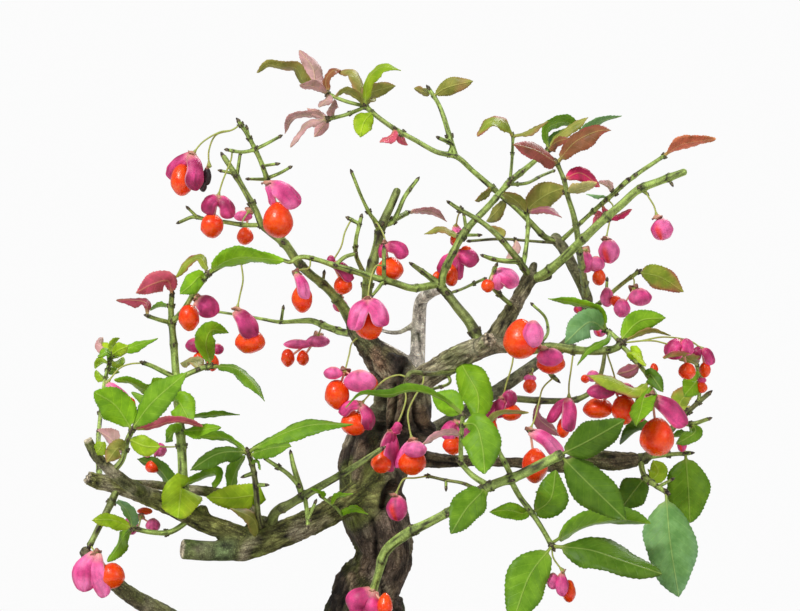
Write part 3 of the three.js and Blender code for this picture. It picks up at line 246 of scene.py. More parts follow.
def lowest(corners):
    return min(corner.z for corner in corners)


def highest(corners):
    return max(corner.z for corner in corners)


def upright(ends):
    return abs(ends[0].z - ends[1].z) > foot_height - 0.001


body_length, body_width = pot_length - 2 * rim_out, pot_width - 2 * rim_out
rim_low = pot_height - rim_height
pot_piece = box((0, 0, (foot_height + pot_height) / 2),
                (body_length, body_width, pot_height - foot_height))
pot_piece.name = "stoneware_pot"
pick(pot_piece, "FACE", lambda corners: highest(corners) < foot_height + 0.001)
bpy.ops.transform.resize(value=(bottom_draft, bottom_draft, 1), center_override=(0, 0, 0))
pick(pot_piece, "EDGE", upright)
bpy.ops.mesh.bevel(offset=pot_corner, segments=8)
for level in (rim_low, rim_low - line_top, rim_low - line_foot):
    bpy.ops.mesh.select_all(action="SELECT")
    bpy.ops.mesh.bisect(plane_co=(0, 0, level), plane_no=(0, 0, 1))
pick(pot_piece, "FACE", lambda corners: rim_low - 0.0001 < lowest(corners) < pot_height - 0.001)
bpy.ops.mesh.extrude_region_shrink_fatten(TRANSFORM_OT_shrink_fatten={"value": rim_out})
pick(pot_piece, "FACE", lambda corners: lowest(corners) > rim_low - line_foot - 0.0001
     and highest(corners) < rim_low - line_top + 0.0001)
bpy.ops.mesh.extrude_region_shrink_fatten(TRANSFORM_OT_shrink_fatten={"value": -line_depth})
pick(pot_piece, "FACE", lambda corners: lowest(corners) > pot_height - 0.0001)
bpy.ops.mesh.dissolve_faces()
bpy.ops.mesh.inset(thickness=pot_wall + rim_out)
bpy.ops.mesh.extrude_region_move(
    TRANSFORM_OT_translate={"value": (0, 0, foot_height + pot_floor - pot_height)})
bpy.ops.transform.resize(value=(inside_draft, inside_draft, 1), center_override=(0, 0, 0))
bpy.ops.object.mode_set(mode="OBJECT")

for side in (-1, 1):
    for end in (-1, 1):
        foot = box((end * (body_length * bottom_draft / 2 - foot_length / 2 - foot_inset),
                    side * (body_width * bottom_draft / 2 - foot_width / 2 - foot_inset),
                    (foot_height + foot_root) / 2),
                   (foot_length, foot_width, foot_height + foot_root))
        pick(foot, "EDGE", upright)
        bpy.ops.mesh.bevel(offset=foot_corner, segments=5)
        pick(foot, "FACE", lambda corners: highest(corners) < 0.0005)
        bpy.ops.transform.resize(value=(foot_draft, foot_draft, 1), center_override=tuple(
            sum((v.co for v in foot.data.vertices), Vector()) / len(foot.data.vertices)))
        bpy.ops.object.mode_set(mode="OBJECT")
        pot_piece.select_set(True)
        bpy.context.view_layer.objects.active = pot_piece
        bpy.ops.object.join()
for end in (-1, 1):
    bpy.ops.mesh.primitive_cylinder_add(vertices=32, radius=drain_radius, depth=0.03,
                                        location=(end * drain_place, 0, foot_height))
    drain = bpy.context.object
    cut = pot_piece.modifiers.new("drain", "BOOLEAN")
    cut.object, cut.operation, cut.solver = drain, "DIFFERENCE", "EXACT"
    bpy.context.view_layer.objects.active = pot_piece
    bpy.ops.object.modifier_apply(modifier="drain")
    bpy.data.objects.remove(drain)
round_over = pot_piece.modifiers.new("worn_edges", "BEVEL")
round_over.width, round_over.segments = edge_wear, 3
round_over.limit_method, round_over.angle_limit = "ANGLE", math.radians(40)
bpy.ops.object.modifier_apply(modifier="worn_edges")
bpy.ops.object.select_all(action="DESELECT")
pot_piece.select_set(True)
bpy.ops.object.shade_smooth_by_angle(angle=math.radians(35))

clay, add, feed = new_finish("unglazed_stoneware")
clay_wear = weathered(add, 0.012, 0.0011)
clay_colour = blend_colours(add, clay_wear["Patches"], clay_dark, clay_mid)
clay_colour = blend_colours(add, clay_wear["Specks"], clay_colour, clay_pale)
place_on_pot = add("ShaderNodeSeparateXYZ", {0: add("ShaderNodeTexCoord").outputs["Object"]})
lime = add("ShaderNodeMapRange", {0: place_on_pot.outputs["Z"], 1: lime_reach, 2: 0.0, 3: 0.0,
                                  4: lime_share}).outputs[0]
feed("Base Color", blend_colours(add, lime, clay_colour, lime_tone))
feed("Roughness", dulled(add, clay_wear, 0.5, 0.72))
feed("Normal", bumped(add, clay_wear["Height"], 0.00022))
pot_piece.data.materials.clear()
pot_piece.data.materials.append(clay)
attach(pot_piece, "root")
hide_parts("pot")


# The soil: small baked clay granules and grit packed in the pot, raised a little to the trunk,
# with cushions of moss over the surface roots. It lies loose and is held by the pot's wall.
soil_edge, soil_crown, soil_low = 0.0375, 0.0415, 0.0103
soil_length, soil_width, soil_corner, soil_draft = 0.1635, 0.1115, 0.0085, 0.95
soil_unevenness = 0.0006
trunk_foot = place(366, 820, 0)
granule_tones = [paint(122, 88, 58), paint(96, 68, 46), paint(146, 112, 78), paint(74, 62, 52),
                 paint(112, 98, 82)]
granule_count, granule_sizes, granule_shape = 1150, (0.0005, 0.0013), (1.2, 0.9, 0.75)
granules_held_in = (1 - 0.024, 1 - 0.03)
bed_dark, bed_pale = paint(58, 42, 30), paint(104, 78, 54)
moss_dark, moss_bright = paint(74, 98, 24), paint(162, 184, 56)
cushion_count, cushion_sizes, cushion_flatness = 85, (0.0028, 0.0075), 0.36
moss_reach, moss_limit = (0.07, 0.045), (0.074, 0.048)
draw = random.Random(7)


# How high the soil is at a place, from its level at the wall and at the trunk.
def soil_level(x, y):
    off = max(abs(x - trunk_foot[0]) / (soil_length / 2), abs(y) / (soil_width / 2))
    rise = (soil_crown - soil_edge) * math.cos(min(off, 1) * math.pi / 2)
    return soil_edge + rise + soil_unevenness * noise.noise((x * 120, y * 120, 3.0))


# Moves a place in to the rounded outline of the pot's inside.
def inside_pot(x, y):
    core_x, core_y = soil_length / 2 - soil_corner, soil_width / 2 - soil_corner
    past_x, past_y = max(abs(x) - core_x, 0), max(abs(y) - core_y, 0)
    past = math.hypot(past_x, past_y)
    if past > soil_corner:
        x = math.copysign(core_x + past_x / past * soil_corner, x) if past_x else x
        y = math.copysign(core_y + past_y / past * soil_corner, y) if past_y else y
    return x, y


bpy.ops.mesh.primitive_grid_add(x_subdivisions=90, y_subdivisions=62, size=1)
soil_piece = bpy.context.object
soil_piece.name = "soil_bed"
soil_piece.scale = (soil_length, soil_width, 1)
bpy.ops.object.transform_apply(location=True, rotation=True, scale=True)
for vertex in soil_piece.data.vertices:
    vertex.co.x, vertex.co.y = inside_pot(vertex.co.x, vertex.co.y)
    vertex.co.z = soil_level(vertex.co.x, vertex.co.y)
bpy.ops.object.mode_set(mode="EDIT")
bpy.ops.mesh.select_all(action="SELECT")
bpy.ops.mesh.region_to_loop()
bpy.ops.mesh.extrude_region_move(TRANSFORM_OT_translate={"value": (0, 0, soil_low - soil_edge)})
bpy.ops.transform.resize(value=(soil_draft, soil_draft, 0), center_override=(0, 0, soil_low))
bpy.ops.mesh.edge_face_add()
bpy.ops.mesh.select_all(action="SELECT")
bpy.ops.mesh.normals_make_consistent(inside=False)
bpy.ops.object.mode_set(mode="OBJECT")
bpy.ops.object.shade_smooth()


# A shape that is modelled once, kept as the places of its points and its faces.
def blank_from(shape):
    points = np.array([vertex.co for vertex in shape.data.vertices])
    faces = [list(face.vertices) for face in shape.data.polygons]
    bpy.data.objects.remove(shape)
    return points, faces


# How rough each of some points is, by a noise of the given fineness.
def lumps_at(points, fineness, offset=(0, 0, 0)):
    return np.array([noise.noise(Vector(point) * fineness + Vector(offset)) for point in points])


# Tones moved to another tone by a share from 0 to 1.
def toward(tones, other, share):
    return tones + (np.array(other) - tones) * share


# One object from many parts: each is its points, faces, places along and across, and tones.
def make_piece(name, parts, finish, slot, *nodes):
    points = np.concatenate([part[0] for part in parts])
    faces, start = [], 0
    for part in parts:
        faces.extend([start + v for v in face] for face in part[1])
        start += len(part[0])
    mesh = bpy.data.meshes.new(name)
    mesh.from_pydata(points.tolist(), [], faces)
    tones = np.concatenate([np.broadcast_to(part[3], (len(part[0]), 3)) for part in parts])
    tone = mesh.color_attributes.new("tone", "FLOAT_COLOR", "POINT")
    tone.data.foreach_set("color", np.c_[tones, np.ones(len(tones))].astype(np.float32).ravel())
    lay_of = np.concatenate([part[2] for part in parts]).astype(np.float32)
    corners = np.empty(len(mesh.loops), np.int32)
    mesh.loops.foreach_get("vertex_index", corners)
    mesh.uv_layers.new(name="lay").data.foreach_set("uv", lay_of[corners].ravel())
    mesh.shade_smooth()
    mesh.materials.append(finish)
    piece = bpy.data.objects.new(name, mesh)
    bpy.context.scene.collection.objects.link(piece)
    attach(piece, "root")
    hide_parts(*nodes)


# The tones that a piece's points carry, darkened and lightened by a mask.
def toned(add, mask, dark, pale, share=1.0):
    tone = add("ShaderNodeAttribute", attribute_name="tone").outputs["Color"]
    return blend_colours(add, share, tone, blend_colours(add, mask, dark, pale), "MULTIPLY")


bpy.ops.mesh.primitive_ico_sphere_add(subdivisions=1, radius=1)
granule_blank, granule_faces = blank_from(bpy.context.object)
granules, no_lay = [], np.zeros((len(granule_blank), 2))
for _ in range(granule_count):
    x, y = inside_pot(draw.uniform(-0.5, 0.5) * soil_length, draw.uniform(-0.5, 0.5) * soil_width)
    size = draw.uniform(*granule_sizes)
    x, y = x * granules_held_in[0], y * granules_held_in[1]
    turn = Matrix.Rotation(draw.uniform(0, 6.28), 3, Vector((draw.random(), draw.random(), 1)))
    knobbly = granule_blank * [[draw.uniform(0.75, 1.2)] for _ in granule_blank]
    shape = knobbly * granule_shape @ np.array(turn) * size
    middle = np.array((x, y, soil_level(x, y) + size * 0.35))
    tone = np.array(draw.choice(granule_tones)) * draw.uniform(0.7, 1.25)
    granules.append((shape + middle, granule_faces, no_lay, tone))

grit, add, feed = new_finish("soil_grit", Roughness=0.95)
grit_wear = weathered(add, 0.004, 0.0009)
feed("Base Color", toned(add, grit_wear["Patches"], (0.45, 0.42, 0.4), (1, 1, 1), 0.8))
feed("Normal", bumped(add, grit_wear["Height"], 0.0003))
bed, add, feed = new_finish("soil_bed", Roughness=0.97)
bed_wear = weathered(add, 0.003, 0.0008)
feed("Base Color", blend_colours(add, bed_wear["Patches"], bed_dark, bed_pale))
feed("Normal", bumped(add, bed_wear["Height"], 0.0007))
soil_piece.data.materials.append(bed)
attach(soil_piece, "root")
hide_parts("soil")
make_piece("soil_granules", granules, grit, "soil", "soil")

bpy.ops.mesh.primitive_uv_sphere_add(segments=22, ring_count=12, radius=1)
cushion_blank, cushion_faces = blank_from(bpy.context.object)
cushions, no_lay = [], np.zeros((len(cushion_blank), 2))
for number in range(cushion_count):
    turn, reach = draw.uniform(0, 2 * math.pi), draw.uniform(0.1, 1) ** 0.8
    x, y = inside_pot(trunk_foot[0] + math.cos(turn) * reach * moss_reach[0],
                      math.sin(turn) * reach * moss_reach[1])
    size = draw.uniform(*cushion_sizes) * (1.15 - 0.4 * reach)
    wander = lumps_at(cushion_blank, 2.2, (number, 0, 0))[:, None]
    tufts = lumps_at(cushion_blank, 8, (0, number, 0))[:, None]
    shape = cushion_blank * (1 + 0.4 * wander + 0.12 * tufts)
    shape = shape * (size, size, size * cushion_flatness)
    x, y = (max(-limit, min(limit, at)) for at, limit in zip((x, y), moss_limit))
    middle = np.array((x, y, soil_level(x, y) - 0.0002))
    bright = np.clip(0.35 + 0.9 * tufts + 0.3 * wander, 0, 1)
    tone = toward(np.array(moss_dark), moss_bright, bright)
    cushions.append((shape + middle, cushion_faces, no_lay, tone))
moss, add, feed = new_finish("moss", Roughness=1.0)
moss_wear = weathered(add, 0.002, 0.00045)
feed("Base Color", toned(add, moss_wear["Specks"], (0.5, 0.5, 0.4), (1.25, 1.3, 1.0)))
feed("Normal", bumped(add, moss_wear["Height"], 0.0009))
make_piece("moss_cushions", cushions, moss, "soil", "soil")


# The trunk and the old limbs: one piece of living wood in rough grey-brown bark, with surface
# roots, a hollow with callus ribs round it, knots where twigs were cut off, and moss. It grows
# out of the soil. Each limb: what it grows from, its path as pixels and depth, and its widths.
trunk_path = [
    (367, 885, 0), (366, 820, 0), (362, 790, 1), (358, 750, 3), (356, 710, 4), (358, 660, 3),
    (365, 611, 1), (367, 590, 0), (379, 570, -1), (385, 550, -2), (380, 530, -2), (373, 510, -1),
    (371, 490, 0), (373, 470, 1), (378, 450, 2), (392, 430, 2), (402, 410, 2), (400, 390, 1),
    (390, 370, 1), (374, 352, 1), (360, 335, 0), (352, 322, 0)]
trunk_widths = [130, 150, 120, 100, 88, 82, 79, 66, 56, 54, 60, 66, 62, 70, 70, 64, 60, 56, 41,
                27, 20, 15]
old_limbs = {
    "R": ("trunk", [(395, 405, 0), (415, 385, -2), (440, 368, -4), (465, 354, -6), (490, 345, -7),
        (508, 346, -8)], [30, 26, 25, 24, 22, 14]),
    "M": ("R", [(490, 345, -7), (503, 325, -6), (513, 308, -4), (522, 292, -3), (531, 276, -2)],
        [22, 18, 16, 15, 16]),
    "knobA": ("M", [(528, 280, -2), (534, 265, -2)], [10, 8]),
    "knobB": ("M", [(531, 281, -2), (549, 276, -2)], [10, 8]),
    "Z": ("trunk", [(408, 398, 10), (416, 372, 16), (418, 345, 20), (419, 320, 22),
        (421, 302, 20), (430, 293, 14), (440, 289, 6)], [17, 17, 16, 15, 14, 12, 10]),
    "Rr": ("trunk", [(385, 455, 2), (415, 458, 4), (445, 461, 8), (480, 461, 10), (520, 463, 10),
        (560, 466, 6), (590, 459, 4), (615, 461, 4), (634, 460, 4)],
        [34, 28, 18, 12, 10, 12, 18, 20, 16]),
    "R2": ("trunk", [(400, 446, 8), (425, 435, 20), (452, 420, 25), (480, 402, 27),
        (510, 382, 28), (540, 361, 28), (565, 345, 28), (583, 322, 27), (588, 300, 26)],
        [20, 18, 16, 14, 13, 12, 11, 11]),
    "P": ("R2", [(588, 300, 26), (582, 285, 26), (572, 265, 26), (563, 248, 26), (555, 238, 26)],
        [11, 12]),
    "BB": ("R2", [(490, 396, 27), (520, 399, 32), (550, 401, 34), (578, 399, 34), (595, 388, 33),
        (602, 370, 31), (605, 352, 30)], [8, 4]),
    "LL": ("trunk", [(362, 492, -4), (338, 508, -8), (315, 520, -10), (290, 531, -12),
        (262, 541, -14), (238, 548, -14)], [22, 27, 26, 26, 28, 28]),
    "stub": ("LL", [(240, 549, -14), (215, 551, -16), (183, 549, -18)], [26, 20, 20]),
    "LL2": ("LL", [(248, 540, -14), (225, 530, -14), (205, 523, -14), (180, 510, -14),
        (155, 499, -14), (128, 489, -14), (100, 482, -15), (88, 478, -16)],
        [24, 20, 20, 20, 20, 18, 16, 14]),
    "LL2b": ("LL", [(262, 530, -12), (240, 501, -6), (215, 493, -4), (185, 489, -4),
        (155, 485, -6), (128, 483, -12)], [18, 15, 12, 10, 9, 8]),
    "LF": ("LL2", [(146, 498, -14), (125, 482, -22), (108, 468, -26), (94, 453, -29),
        (88, 440, -30)], [14, 9]),
    "LW": ("trunk", [(352, 705, -2), (310, 690, -6), (260, 668, -8), (205, 640, -10),
        (165, 615, -12), (130, 595, -14), (105, 574, -15), (85, 552, -16)], [30, 12]),
}
knots = {
    "bulge": ("trunk", [(404, 428, 1), (426, 432, 0)], [44, 24]),
    "Z1": ("Z", [(418, 318, 22), (405, 330, 21), (395, 333, 20), (380, 330, 22)], [5, 4]),
    "Z2": ("Z", [(416, 368, 16), (408, 358, 18), (386, 345, 20), (372, 338, 20)], [5, 4]),
    "cut_knot": ("R", [(480, 351, -6), (489, 340, -12)], [17, 15]),
    "knobC": ("LL2", [(205, 524, -14), (202, 510, -14)], [16, 12]),
    "LL3": ("LL", [(275, 538, -12), (262, 528, -12), (252, 530, -12)], [20, 26, 18]),
    "W1": ("W", [(607, 290, 24), (607, 281, 24)], [4, 3]),
}
old_limbs.update(knots)
root_count, root_reach, root_rises = 9, 0.034, (0.0070, 0.0022, -0.0006, -0.0050)
root_widths, root_places = (0.0125, 0.0085, 0.0055, 0.0030), (0, 0.45, 0.75, 1)

# What each limb's bark is like: its colour, how mossy it is and how rough.
bark_kinds = {
    "trunk": ((108, 95, 84), 0.12, 1.1), "bulge": ((130, 118, 102), 0.0, 1.0),
    "R": ((178, 176, 146), 0.25, 1.1), "M": ((126, 124, 92), 0.2, 1.1),
    "Z": ((236, 232, 222), 0.0, 0.15), "Rr": ((116, 108, 84), 0.15, 0.8),
    "R2": ((116, 120, 94), 0.15, 0.25), "P": ((130, 134, 100), 0.15, 0.3),
    "LL": ((126, 130, 78), 0.5, 1.05), "stub": ((112, 130, 86), 0.0, 0.1),
    "LL2": ((136, 140, 80), 0.45, 1.05), "LL2b": ((112, 118, 62), 0.5, 0.7),
    "LF": ((128, 130, 88), 0.35, 0.5), "LW": ((124, 120, 92), 0.35, 0.7),
    "roots": ((124, 114, 96), 0.4, 0.9),
}
sawn_limbs, carving_depth = ("stub", "LL2", "LF", "cut_knot"), 1.5
sawn_pale = paint(206, 196, 172)
# The first colour is painted shade for the bark's furrows; the others are lichen and moss.
bark_furrow_shade, bark_pale, bark_moss = paint(24, 20, 17), paint(184, 176, 152), paint(98, 114, 40)
voxel_size, seam_width = 0.00042, 18
cut_end, grown_end = ((0.97, 0.8), (0.1, 0.16)), ((0.86, 0.5), (0.45, 0.75))

# Carved places on the side of the trunk and limbs that the photograph shows: where they run
# in pixels, half their width in pixels, how far they stand out in mm, and their colour, which is
# partly the bark's own and partly painted shade in the grooves and hollow and painted light on
# the ridges.
carvings = [
    ([(380, 398), (378, 411), (381, 425)], 7.5, -2.6, (30, 32, 20)),
    ([(386, 378), (391, 395), (390, 410), (386, 425)], 3.0, 0.8, (138, 124, 104)),
    ([(395, 384), (396, 400), (394, 416), (390, 430)], 2.0, -0.9, (44, 36, 30)),
    ([(399, 384), (401, 400), (399, 414), (394, 430)], 2.8, 0.7, (130, 116, 98)),
    ([(405, 386), (407, 400), (404, 416), (399, 430)], 2.0, -0.8, (46, 38, 32)),
    ([(412, 390), (413, 405), (409, 420)], 3.0, 0.5, (116, 102, 84)),
    ([(421, 409), (424, 421)], 6.5, 0.9, (128, 110, 88)),
    ([(414, 402), (413, 412), (416, 422), (422, 431)], 1.8, -0.8, (40, 32, 28)),
    ([(398, 363), (400, 380)], 8.0, 0.5, (44, 39, 35)),
    ([(352, 325), (361, 339), (371, 350)], 10.0, 0.0, (112, 120, 82)),
    ([(390, 357), (404, 362)], 5.0, 0.7, (52, 46, 42)),
    ([(402, 370), (401, 376)], 3.5, -1.0, (26, 22, 20)),
    ([(375, 352), (381, 366)], 6.0, 0.6, (146, 122, 100)),
    ([(368, 358), (372, 372), (380, 380)], 2.2, -0.7, (48, 40, 34)),
    ([(353, 437), (349, 450), (346, 462), (345, 475)], 2.4, -1.3, (30, 25, 20)),
    ([(362, 446), (358, 462), (357, 478)], 5.5, 0.7, (128, 114, 96)),
    ([(393, 484), (386, 494), (384, 506)], 5.5, -1.6, (40, 31, 27)),
    ([(397, 488), (401, 500)], 3.5, 0.5, (84, 66, 54)),
    ([(374, 478), (366, 488), (358, 500)], 7.0, 0.2, (84, 92, 42)),
    ([(352, 576), (354, 590), (357, 602)], 4.5, 0.6, (156, 138, 116)),
    ([(372, 520), (376, 540), (374, 556)], 3.0, -0.8, (44, 38, 32)),
    ([(396, 536), (402, 552), (398, 566)], 4.5, 0.6, (122, 106, 90)),
    ([(385, 560), (380, 578), (384, 596)], 2.6, -0.8, (50, 42, 36)),
    ([(366, 560), (362, 574)], 4.0, 0.5, (126, 110, 92)),
    ([(394, 586), (388, 604)], 4.0, 0.5, (112, 98, 82)),
    ([(430, 444), (446, 441)], 6.0, 0.2, (190, 186, 180)),
    ([(414, 452), (432, 462), (460, 466)], 3.0, -0.6, (38, 32, 30)),
]


# Points a step apart on a smooth line through the given ones, with the widths between.
def smooth_run(points, widths, step):
    points = np.array(points)
    ends = [2 * points[0] - points[1]], [2 * points[-1] - points[-2]]
    line = np.concatenate([ends[0], points, ends[1]])
    run, at = [], []
    for i in range(len(points) - 1):
        a, b, c, d = line[i:i + 4]
        gap = [max(np.linalg.norm(q - p), 1e-7) ** 0.5 for p, q in ((a, b), (b, c), (c, d))]
        lead = ((b - a) / gap[0] - (c - a) / (gap[0] + gap[1]) + (c - b) / gap[1]) * gap[1]
        tail = ((c - b) / gap[1] - (d - b) / (gap[1] + gap[2]) + (d - c) / gap[2]) * gap[1]
        count = max(int(round(np.linalg.norm(c - b) / step)), 1)
        for t in np.arange(count) / count:
            run.append(b + lead * t + (3 * (c - b) - 2 * lead - tail) * t ** 2
                       + (2 * (b - c) + lead + tail) * t ** 3)
            at.append((i + t) / (len(points) - 1))
    run.append(points[-1])
    at.append(1.0)
    return np.array(run), np.interp(at, np.linspace(0, 1, len(widths)), widths)


def lengths_along(run):
    return np.r_[0, np.cumsum(np.linalg.norm(np.diff(run, axis=0), axis=1))]


# The way ahead at each point and two directions square to it, turning as little as they can.
def frames_along(run):
    ways = np.gradient(run, axis=0)
    ways /= np.maximum(np.linalg.norm(ways, axis=1), 1e-9)[:, None]
    side, sides = np.array((0.0, -1.0, 0.0)), []
    for way in ways:
        side = side - way * side.dot(way)
        if np.linalg.norm(side) < 0.2:
            side = np.array((1.0, 0, 0)) - way * way[0]
        side = side / np.linalg.norm(side)
        sides.append(side)
    sides = np.array(sides)
    return ways, sides, np.cross(sides, ways)


# A round closed tube: rings of points along a run, drawn in at both ends. It gives back the
# points, the faces, and for each point its turn round the tube and its place along in metres.
def tube(run, radii, around, cut=False):
    ways, sides, across = frames_along(run)
    first, last = radii[0], radii[-1]
    drawn, out = cut_end if cut else grown_end
    run = np.concatenate([[run[0] - ways[0] * first * k for k in (0.75, 0.45)], run,
                          [run[-1] + ways[-1] * last * k for k in out]])
    radii = np.concatenate([[first * 0.5, first * 0.86], radii, last * np.array(drawn)])
    sides, across = (np.concatenate([of[:1], of[:1], of, of[-1:], of[-1:]])[:, None]
                     for of in (sides, across))
    turns = np.linspace(0, 2 * math.pi, around, endpoint=False)
    outward = np.cos(turns)[None, :, None] * sides + np.sin(turns)[None, :, None] * across
    rings = run[:, None] + radii[:, None, None] * outward
    lengths = lengths_along(run)
    points = np.concatenate([rings.reshape(-1, 3), [run[0] - ways[0] * first * 0.12],
                             [run[-1] + ways[-1] * last * 0.12]])
    lay_of = np.c_[np.tile(turns / (2 * math.pi), len(run)), np.repeat(lengths, around)]
    lay_of = np.concatenate([lay_of, [(0, 0), (0, lengths[-1])]])
    faces, low, high = [], len(points) - 2, len(points) - 1
    for a in range(0, (len(run) - 1) * around, around):
        for j in range(around):
            k = (j + 1) % around
            faces.append([a + j, a + around + j, a + around + k, a + k])
    top = (len(run) - 1) * around
    for j in range(around):
        k = (j + 1) % around
        faces.append([low, j, k])
        faces.append([top + j, high, top + k])
    return points, faces, lay_of


def kept_in(value, least, most):
    return min(max(value, least), most)


stems = dict(old_limbs)


# The point of a stem's path that a pixel is nearest to.
def seat(parent, pixel):
    path = trunk_path if parent == "trunk" else stems[parent][1]
    best = None
    for a, b in zip(path, path[1:]):
        dx, dy = b[0] - a[0], b[1] - a[1]
        t = ((pixel[0] - a[0]) * dx + (pixel[1] - a[1]) * dy) / (dx * dx + dy * dy)
        point = tuple(p + kept_in(t, 0, 1) * (q - p) for p, q in zip(a, b))
        gap = math.dist(pixel[:2], point[:2])
        if best is None or gap < best[0]:
            best = gap, point
    return best[1]


# A stem's middle line and widths in metres. It starts on the stem that it grows from.
def stem_run(name, step):
    parent, path, widths = stems[name]
    start = seat(parent, path[0])
    path = [start] + [point for i, point in enumerate(path)
                      if i or math.dist(point[:2], start[:2]) > 4]
    real = [real_width(width, stems[name][1][0][2]) for width in widths]
    return smooth_run([place(*point) for point in path], real, step)


wood_runs, thin_old_limbs = {}, ("BB", "W1")
run, widths = smooth_run([place(*point) for point in trunk_path],
                         [real_width(width, 0) for width in trunk_widths], 0.001)
wood_runs["trunk"] = (run, widths / 2)
for name in old_limbs:
    if name not in thin_old_limbs:
        run, widths = stem_run(name, 0.0007)
        wood_runs[name] = (run, widths / 2)
for i in range(root_count):
    turn = (i + 0.3) / root_count * 2 * math.pi
    way = np.array((math.cos(turn), math.sin(turn), 0))
    bend = np.array((-way[1], way[0], 0)) * 0.006 * math.sin(2.1 * i)
    reach = root_reach * (0.8 + 0.3 * math.sin(2.4 * i))
    path = [np.array((*trunk_foot[:2], soil_crown + rise)) + way * reach * u + bend * u * u
            for u, rise in zip(root_places, root_rises)]
    run, widths = smooth_run(path, root_widths, 0.0008)
    wood_runs[f"root_{i}"] = (run, widths / 2)

bpy.ops.object.select_all(action="DESELECT")
for name, (run, radii) in wood_runs.items():
    points, faces, _ = tube(run, radii, 40 if name == "trunk" else 24, name in sawn_limbs)
    mesh = bpy.data.meshes.new(name)
    mesh.from_pydata(points.tolist(), [], faces)
    limb = bpy.data.objects.new(name, mesh)
    bpy.context.scene.collection.objects.link(limb)
    limb.select_set(True)
    bpy.context.view_layer.objects.active = limb
bpy.ops.object.join()
wood_piece = bpy.context.object
wood_piece.name = "trunk_and_old_limbs"
wood_piece.data.remesh_voxel_size = voxel_size
wood_piece.data.remesh_voxel_adaptivity = 0
bpy.ops.object.voxel_remesh()
soften = wood_piece.modifiers.new("grown_together", "SMOOTH")
soften.factor, soften.iterations = 0.5, 5
bpy.ops.object.modifier_apply(modifier="grown_together")

# The middle lines of all the wood, to know at each point of bark which limb it is on.
lines, sawn_ends = [], {}
for name, (run, radii) in wood_runs.items():
    ways, sides, across = frames_along(run)
    lines.extend(zip([name] * len(run), run, ways, sides, across, radii, lengths_along(run)))
    if name in sawn_limbs:
        sawn_ends[name] = run[-1], ways[-1], radii[-1]
nearest_line = kdtree.KDTree(len(lines))
for i, line in enumerate(lines):
    nearest_line.insert(line[1], i)
nearest_line.balance()

count = len(wood_piece.data.vertices)
bark_points, bark_ways = np.empty(count * 3, np.float32), np.empty(count * 3, np.float32)
wood_piece.data.vertices.foreach_get("co", bark_points)
wood_piece.data.vertices.foreach_get("normal", bark_ways)
bark_points = bark_points.reshape(-1, 3).astype(float)
bark_ways = bark_ways.reshape(-1, 3).astype(float)
lift, tones, relief = np.zeros(count), np.zeros((count, 3)), np.zeros(count)
grain_places = np.zeros((count, 3))
limb_names = list(wood_runs)
limb_at, kinds_at, on_line = np.zeros(count, int), np.zeros((count, 6)), []
for i, point in enumerate(bark_points):
    line = min((lines[index] for _, index, _ in nearest_line.find_n(point, 5)),
               key=lambda line: np.linalg.norm(point - line[1]) / line[5])
    on_line.append(line)
    limb_at[i] = limb_names.index(line[0])
    kind = "roots" if line[0].startswith("root") else line[0]
    grown_from = old_limbs.get(kind, ("R",))[0]
    colour, mossy, rough = bark_kinds.get(kind, bark_kinds.get(grown_from, bark_kinds["R"]))
    kinds_at[i] = (*paint(*colour), mossy, rough, 0)

# Where two limbs meet, their colours run together and the relief fades.
mesh_edges = np.empty(len(wood_piece.data.edges) * 2, np.int32)
wood_piece.data.edges.foreach_get("vertices", mesh_edges)
mesh_edges = mesh_edges.reshape(-1, 2)
crossing = mesh_edges[limb_at[mesh_edges[:, 0]] != limb_at[mesh_edges[:, 1]]]
kinds_at[crossing.ravel(), 5] = 1
here, beside = np.concatenate([mesh_edges, mesh_edges[:, ::-1]]).T
neighbours = np.maximum(np.bincount(here, minlength=count), 1)
for _ in range(seam_width):
    for k in range(6):
        spread = np.bincount(here, kinds_at[beside, k], count) / neighbours
        kinds_at[:, k] = 0.4 * kinds_at[:, k] + 0.6 * spread
seam_fade = 1 - np.clip(kinds_at[:, 5] * 2.4, 0, 1)
